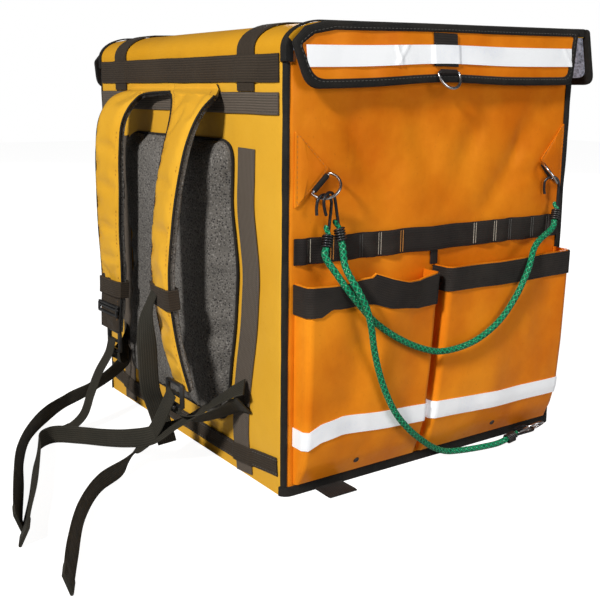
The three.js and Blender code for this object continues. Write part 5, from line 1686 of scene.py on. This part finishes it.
for side, outline in PATCHES.items():
    build(f"corner_patch_{side}", patch_shape(outline), [COVER], "cover", [f"ring_patch_{side}"])
    upper, lower = (np.array([HALF_W, *outline[i]]) for i in (1, 2))
    bar = unit(upper - lower)
    sign = 1 if side == "left" else -1
    away = np.array([0, sign * bar[2], -sign * bar[1]])
    centre = (upper + lower) / 2 + away * (RING_WIRE + GAP) + np.array([RING_WIRE + 2 * GAP, 0, 0])
    bow = away * math.cos(PATCH_TILT) + np.array([math.sin(PATCH_TILT), 0, 0])
    ring = ring_shape(centre, bar, bow, RING_SHOULDER)
    build(f"patch_ring_{side}", ring, [STEEL], "steel", [f"d_ring_{side}"])
    sleeve = keeper(centre, bar, 2 * RING_HALF - 8, RING_WIRE + 0.9)
    build(f"ring_keeper_{side}", sleeve, [BINDING], "webbing")
print("ring patches:", len(PATCHES))

# %% [markdown]
# ## The pocket side's flap
#
# A reflective stripe runs along this flap, over a tab of webbing that comes down from the lid and holds a
# D-ring. Both are built on the flap's own surface, so they wave with it, and the stripe rises where it
# crosses the tab.

# %% Stripe, tab and ring on the flap
TAB_Y, TAB_LOW, TAB_HIGH = -10.0, 408.3, 442.0
STRIPE_ENDS = ((-177, 416.5), (178, 425))
CREASES = ((-66, 0.8), (-70, -0.3), (172, -0.7))  # place along the stripe and slope of each crease
FLAP_FACE = FLAP_THICK + GAP


def on_flap(y, z, lift):
    return flap_point("right", y, z - side_line(y), lift)


def flap_stripe():
    (start, low_z), (end, high_z) = STRIPE_ENDS

    def grid(lift):
        rows = []
        for rise in np.linspace(-STRIPE / 2, STRIPE / 2, 7):
            row = []
            for y in np.linspace(start, end, 260):
                z = low_z + (high_z - low_z) * (y - start) / (end - start) + rise
                over = np.clip((LOAD_WIDE / 2 + 4 - abs(y - TAB_Y)) / 3, 0, 1) * (WEB_THICK + GAP)
                crease = sum(math.exp(-((y - place - slope * rise) / 2) ** 2) for place, slope in CREASES)
                row.append(on_flap(y, z, FLAP_FACE + over + crease + lift))
            rows.append(row)
        return rows

    return slab(grid(STRIPE_THICK), grid(0.0))


def flap_tab():
    across = np.linspace(TAB_Y - LOAD_WIDE / 2, TAB_Y + LOAD_WIDE / 2, 9)
    down = np.linspace(TAB_LOW, TAB_HIGH, 14)

    def grid(lift):
        return [[on_flap(y, z, FLAP_FACE + lift) for y in across] for z in down]

    return slab(grid(WEB_THICK), grid(0.0))


build("flap_reflector", flap_stripe(), [TAPE], "tape", ["flap_stripe"])
build("flap_tab", flap_tab(), [BLACK_WEBBING], "webbing", ["flap_ring_tab"])
FLAP_RING_TILT = math.radians(25)
ring_low, ring_high = node_box("d_ring_flap")
flap_ring = (ring_low[0] + RING_WIRE + 0.5, TAB_Y + 2, ring_high[2] - RING_WIRE)
flap_bow = (math.sin(FLAP_RING_TILT), 0, -math.cos(FLAP_RING_TILT))
ring = ring_shape(flap_ring, (0, 1, 0), flap_bow, FLAP_RING_SHOULDER)
build("flap_ring", ring, [STEEL], "steel", ["d_ring_flap"])
build("ring_keeper_flap", keeper(flap_ring, (0, 1, 0), 20, RING_WIRE + 1.0), [BLACK_WEBBING], "webbing")
print("creases in the stripe:", len(CREASES))

# %% [markdown]
# ## Foot of the pocket side
#
# A folded tab sticks out under the left pocket. On the right a tab holds the ring that the long cord
# hooks into. Each tab is one band that goes out, turns over and comes back.

# %% Tabs at the foot
for side in ("left", "right"):
    low, high = node_box(f"base_tab_{side}")
    thick = (high[2] - low[2]) / 2 - 0.05
    fold = [(high[0] - thick, low[2] + thick / 2), (high[0] - 0.3, (low[2] + high[2]) / 2),
            (high[0] - thick, high[2] - thick / 2)]
    path = [(low[0], low[2] + thick / 2), *fold, (low[0], high[2] - thick / 2)]
    stations = smooth_rows([(x, (low[1] + high[1]) / 2, z, 0, 1, 0) for x, z in path], 6)
    tab = band(stations, high[1] - low[1], thick * 0.9)
    build(f"foot_tab_{side}", tab, [BLACK_WEBBING], "webbing", [f"base_tab_{side}"])
BASE_RING = (216.0, 146.0, 3.0)
BASE_TILT = math.radians(40)
base_bow = (math.cos(BASE_TILT), 0, math.sin(BASE_TILT))
ring = ring_shape(BASE_RING, (0, 1, 0), base_bow, RING_SHOULDER)
build("foot_ring", ring, [STEEL], "steel", ["d_ring_base"])
print("tabs and base ring made")

# %% [markdown]
# ## Stitches
#
# Rows of stitches are short threads at even distances along a line, which is what Geometry Nodes do well:
# a curve is resampled, a thread is set on each point and turned along the curve. With a short distance,
# the same tree makes the dense bars that tack webbing down.

# %% Stitch tree


def end_tree(graph, placed, material):
    """Makes the instances real, gives them their material and ends the tree."""
    real = graph.node("GeometryNodeRealizeInstances", {"Geometry": placed.outputs[0]})
    named = graph.node("GeometryNodeSetMaterial", {"Geometry": real.outputs[0], "Material": material})
    graph.node("NodeGroupOutput", {"Geometry": named.outputs[0]})


def stitch_tree():
    tree = bpy.data.node_groups.new("Stitches", "GeometryNodeTree")
    tree.interface.new_socket("Geometry", in_out="INPUT", socket_type="NodeSocketGeometry")
    for label, value in (("Distance", 0.0045), ("Length", 0.003), ("Thread", 0.0005)):
        socket = tree.interface.new_socket(label, in_out="INPUT", socket_type="NodeSocketFloat")
        socket.default_value = value
    tree.interface.new_socket("Material", in_out="INPUT", socket_type="NodeSocketMaterial")
    tree.interface.new_socket("Geometry", in_out="OUTPUT", socket_type="NodeSocketGeometry")
    graph = Graph(tree)
    given = graph.node("NodeGroupInput").outputs
    spacing = {"Curve": given["Geometry"], "Length": given["Distance"]}
    line = graph.node("GeometryNodeResampleCurve", spacing, mode="LENGTH")
    ball = graph.node("GeometryNodeMeshUVSphere", {"Segments": 6, "Rings": 4, "Radius": 0.5})
    sizes = {"X": given["Length"], "Y": given["Thread"], "Z": given["Thread"]}
    size = graph.node("ShaderNodeCombineXYZ", sizes)
    way = graph.node("GeometryNodeInputTangent").outputs[0]
    along = graph.node("FunctionNodeAlignRotationToVector", {"Vector": way}, axis="X")
    placed = graph.node("GeometryNodeInstanceOnPoints", {
        "Points": line.outputs[0], "Instance": ball.outputs[0],
        "Rotation": along.outputs[0], "Scale": size.outputs[0],
    })
    end_tree(graph, placed, given["Material"])
    return tree


STITCHES = stitch_tree()


def run_tree(name, source, tree, values, slot):
    """Runs a tree on an object, keeps the result as a plain mesh and rides it on the bag."""
    bpy.context.collection.objects.link(source)
    modifier = source.modifiers.new(tree.name, "NODES")
    modifier.node_group = tree
    sockets = {s.name: s.identifier for s in tree.interface.items_tree if s.in_out == "INPUT"}
    for label, value in values.items():
        modifier[sockets[label]] = value
    depsgraph = bpy.context.evaluated_depsgraph_get()
    mesh = bpy.data.meshes.new_from_object(source.evaluated_get(depsgraph), depsgraph=depsgraph)
    bpy.data.objects.remove(source)
    mesh.name = name
    piece = bpy.data.objects.new(name, mesh)
    bpy.context.collection.objects.link(piece)
    return attach(piece, slot)


def stitches(name, lines, thread_finish, slot, distance=4.5, length=3.2, thread_wide=0.8):
    """Rows of stitches along lines of points."""
    curve = bpy.data.curves.new(name, "CURVE")
    curve.dimensions = "3D"
    for line in lines:
        spline = curve.splines.new("POLY")
        spline.points.add(len(line) - 1)
        for point, place in zip(spline.points, line):
            point.co = (*(np.asarray(place, float) * MM), 1.0)
    source = bpy.data.objects.new(name, curve)
    values = {"Distance": distance * MM, "Length": length * MM, "Thread": thread_wide * MM}
    return run_tree(name, source, STITCHES, {**values, "Material": thread_finish}, slot)


print("stitch tree:", len(STITCHES.nodes), "nodes")

# %% Stitch lines
STITCH_LIFT = GAP + WEB_THICK + 0.1
CROSSING_HALF = 21.0  # stitches stop this far from the middle of a crossing
CROSS_BANDS = [(UPPER_Z, TAIL_WIDE, 0.0, LOADS), (LOWER_Z, LOWER_WIDE, LOWER_RISE, CROSSED)]


def back_line(points):
    return [(x, -HALF_D - STITCH_LIFT, z) for x, z in points]


back_lines = []
for x in LOADS:
    for aside in (-LOAD_WIDE / 2 + 3, LOAD_WIDE / 2 - 3):
        heights = np.linspace(42, BACK_TOP_Z - 4, 60)
        back_lines.append(back_line([(load_x(x, z) + aside, z) for z in heights]))
for z, width, rise, (left, right) in CROSS_BANDS:
    starts = (-BACK_END, left + CROSSING_HALF, right + CROSSING_HALF)
    ends = (left - CROSSING_HALF, right - CROSSING_HALF, BACK_END)
    for aside in (-width / 2 + 2.5, width / 2 - 2.5):
        for start, end in zip(starts, ends):
            row = [(x, z + aside + rising(x, rise)) for x in np.linspace(start, end, 24)]
            back_lines.append(back_line(row))
stitches("webbing_stitches", back_lines, DARK_THREAD, "webbing")

cover_lines = []
for outline in PATCHES.values():
    ring = drawn_in(rounded_outline([(y, z, 3) for y, z in outline], 4.0), 2.6)
    cover_lines.append([(HALF_W + GAP + PATCH_THICK * 0.8, y, z) for y, z in [*ring, ring[0]]])
for side in STRAPS:
    rows = strap_rows(side)
    sewn = range(2 * STRAP_STEPS, len(rows) - 2)
    for share in (0.1, 0.9):
        cover_lines.append([strap_point(side, rows, row, share, 1, 0.4) for row in sewn])
stitches("cover_stitches", cover_lines, COVER_THREAD, "cover", thread_wide=0.45)

tape_lines = []
for side, corners in SIDES.items():
    ring = drawn_in(rounded_outline(corners), FLAP_TAPE - 2.2)
    tape_lines.append([flap_point(side, u, v, 5.45) for u, v in [*ring, ring[0]]])
stitches("tape_stitches", tape_lines, DARK_THREAD, "binding")

TACK_TALL = 20.0
TACKS = {
    "pale": (PALE_THREAD, (-167, -81.5, 49.5, 80)),
    "gold": (COVER_THREAD, (-140, -53)),
    "dark": (DARK_THREAD, (-105, 103, 139, 164)),
}
TACK_STITCH = {"distance": 1.5, "length": 2.4, "thread_wide": 1.1}
for shade, (tack_thread, places) in TACKS.items():
    tack_lines = []
    for y in places:
        for aside in (-1.6, 1.6):
            heights = (LOOP_Z - TACK_TALL / 2, LOOP_Z + TACK_TALL / 2)
            tack_lines.append([(HALF_W + GAP + WEB_THICK + 0.25, y + aside, z) for z in heights])
    stitches(f"loop_tacks_{shade}", tack_lines, tack_thread, "webbing", **TACK_STITCH)
print("stitch rows:", len(back_lines) + len(cover_lines) + len(tape_lines))

# %% [markdown]
# ## Drain eyelets
#
# Each pocket has a small black eyelet in its sloping foot, where rain drains. A ring with a dark middle,
# which is a disc of painted shade over the hole, is set on each point of a small mesh and turned to face
# out of the slope.

# %% Drain eyelets


def eyelet_tree():
    tree = bpy.data.node_groups.new("Eyelets", "GeometryNodeTree")
    tree.interface.new_socket("Geometry", in_out="INPUT", socket_type="NodeSocketGeometry")
    for label, value in (("Radius", 0.0026), ("Wire", 0.0007)):
        socket = tree.interface.new_socket(label, in_out="INPUT", socket_type="NodeSocketFloat")
        socket.default_value = value
    tree.interface.new_socket("Facing", in_out="INPUT", socket_type="NodeSocketVector")
    tree.interface.new_socket("Material", in_out="INPUT", socket_type="NodeSocketMaterial")
    tree.interface.new_socket("Geometry", in_out="OUTPUT", socket_type="NodeSocketGeometry")
    graph = Graph(tree)
    given = graph.node("NodeGroupInput").outputs
    ring = graph.node("GeometryNodeCurvePrimitiveCircle", {"Resolution": 12, "Radius": given["Radius"]})
    wire = graph.node("GeometryNodeCurvePrimitiveCircle", {"Resolution": 5, "Radius": given["Wire"]})
    rim = graph.node("GeometryNodeCurveToMesh", {"Curve": ring.outputs[0], "Profile Curve": wire.outputs[0]})
    # The middle is a dark disc over the hole: painted shade.
    middle = graph.node("GeometryNodeMeshCylinder", {
        "Vertices": 10, "Radius": given["Radius"], "Depth": given["Wire"]}, fill_type="NGON")
    both = graph.node("GeometryNodeJoinGeometry")
    for part in (rim, middle):
        tree.links.new(part.outputs[0], both.inputs[0])
    facing = graph.node("FunctionNodeAlignRotationToVector", {"Vector": given["Facing"]}, axis="Z")
    placed = graph.node("GeometryNodeInstanceOnPoints", {
        "Points": given["Geometry"], "Instance": both.outputs[0], "Rotation": facing.outputs[0]})
    end_tree(graph, placed, given["Material"])
    return tree


EYELET_COLUMN = {"left": 3.8, "right": 4.05}  # place in the plan of the pocket's wall
EYELET_Z = 25.0
EYELET_OUT = (0.894, 0.0, -0.447)
spots = [pocket_point(POCKETS[side], column, EYELET_Z, 0.4) for side, column in EYELET_COLUMN.items()]
spot_mesh = bpy.data.meshes.new("eyelet_places")
spot_mesh.from_pydata([tuple(spot * MM) for spot in spots], [], [])
spot_source = bpy.data.objects.new("eyelet_places", spot_mesh)
run_tree("drain_eyelets", spot_source, eyelet_tree(), {"Facing": EYELET_OUT, "Material": PLASTIC}, "plastic")
print("eyelets:", len(spots))

# %% [markdown]
# ## Floor and light
#
# The floor is pale and plain. The main light stands off the back panel, a little to the pocket side, and
# lights the panel and the lid, so the pocket side is darker. A wide side light gives the coated cloth its
# soft sheen, and a rear light shows the two sides that the photo hides. The surround and the floor look
# white to the camera, but send out less light, so the shadows stay deep.

# %% Floor and light
FLOOR_HALF = 6.0
FLOOR_GLOW = 0.94
floor_mesh = bpy.data.meshes.new("floor")
floor_ways = ((-1, -1), (1, -1), (1, 1), (-1, 1))
floor_mesh.from_pydata([(sx * FLOOR_HALF, sy * FLOOR_HALF, 0) for sx, sy in floor_ways], [], [(0, 1, 2, 3)])
paint = Finish("studio_floor", Roughness=0.9, Specular_IOR_Level=0.1)
tone = paint.graph.noise(paint.place, 1.5, 2.0)
paint.feed(Base_Color=paint.graph.blend(tone, (0.42, 0.42, 0.42, 1), (0.45, 0.45, 0.45, 1)))
paint.shader.inputs["Emission Color"].default_value = (1, 1, 1, 1)
seen = paint.graph.node("ShaderNodeLightPath").outputs["Is Camera Ray"]
paint.feed(Emission_Strength=paint.graph.math("MULTIPLY", seen, FLOOR_GLOW))
floor_mesh.materials.append(paint.material)
floor = bpy.data.objects.new("floor", floor_mesh)
bpy.context.collection.objects.link(floor)


def area_light(name, place, target, size, power, colour):
    light = bpy.data.lights.new(name, "AREA")
    light.shape = "DISK"
    light.size = size
    light.energy = power
    light.color = colour
    lamp = bpy.data.objects.new(name, light)
    lamp.location = place
    lamp.rotation_euler = (Vector(target) - Vector(place)).to_track_quat("-Z", "Y").to_euler()
    bpy.context.collection.objects.link(lamp)


# Place, target and size in metres, then power and colour
LIGHTS = {
    "main_light": ((1.1, -2.58, 1.95), (0, -0.1, 0.25), 0.45, 102.0, (1.0, 0.98, 0.94)),
    "side_light": ((2.3, 0.5, 0.9), (0.2, 0, 0.25), 1.2, 16.5, (1, 1, 1)),
    "rear_light": ((-2.4, 2.3, 1.3), (0, 0, 0.25), 1.6, 40.0, (1, 1, 1)),
}
for name, settings in LIGHTS.items():
    area_light(name, *settings)
SURROUND_LIGHT = 0.05
world = bpy.data.worlds.new("studio")
world.use_nodes = True
sky = Graph(world.node_tree)
ray = sky.node("ShaderNodeLightPath").outputs["Is Camera Ray"]
surround = world.node_tree.nodes["Background"]
surround.inputs["Color"].default_value = (1.0, 1.0, 1.0, 1)
world.node_tree.links.new(sky.ramp(ray, 0.0, 1.0, SURROUND_LIGHT, 1.0), surround.inputs["Strength"])
bpy.context.scene.world = world
bpy.context.scene.view_settings.view_transform = "Standard"
print("lights:", ", ".join(LIGHTS))
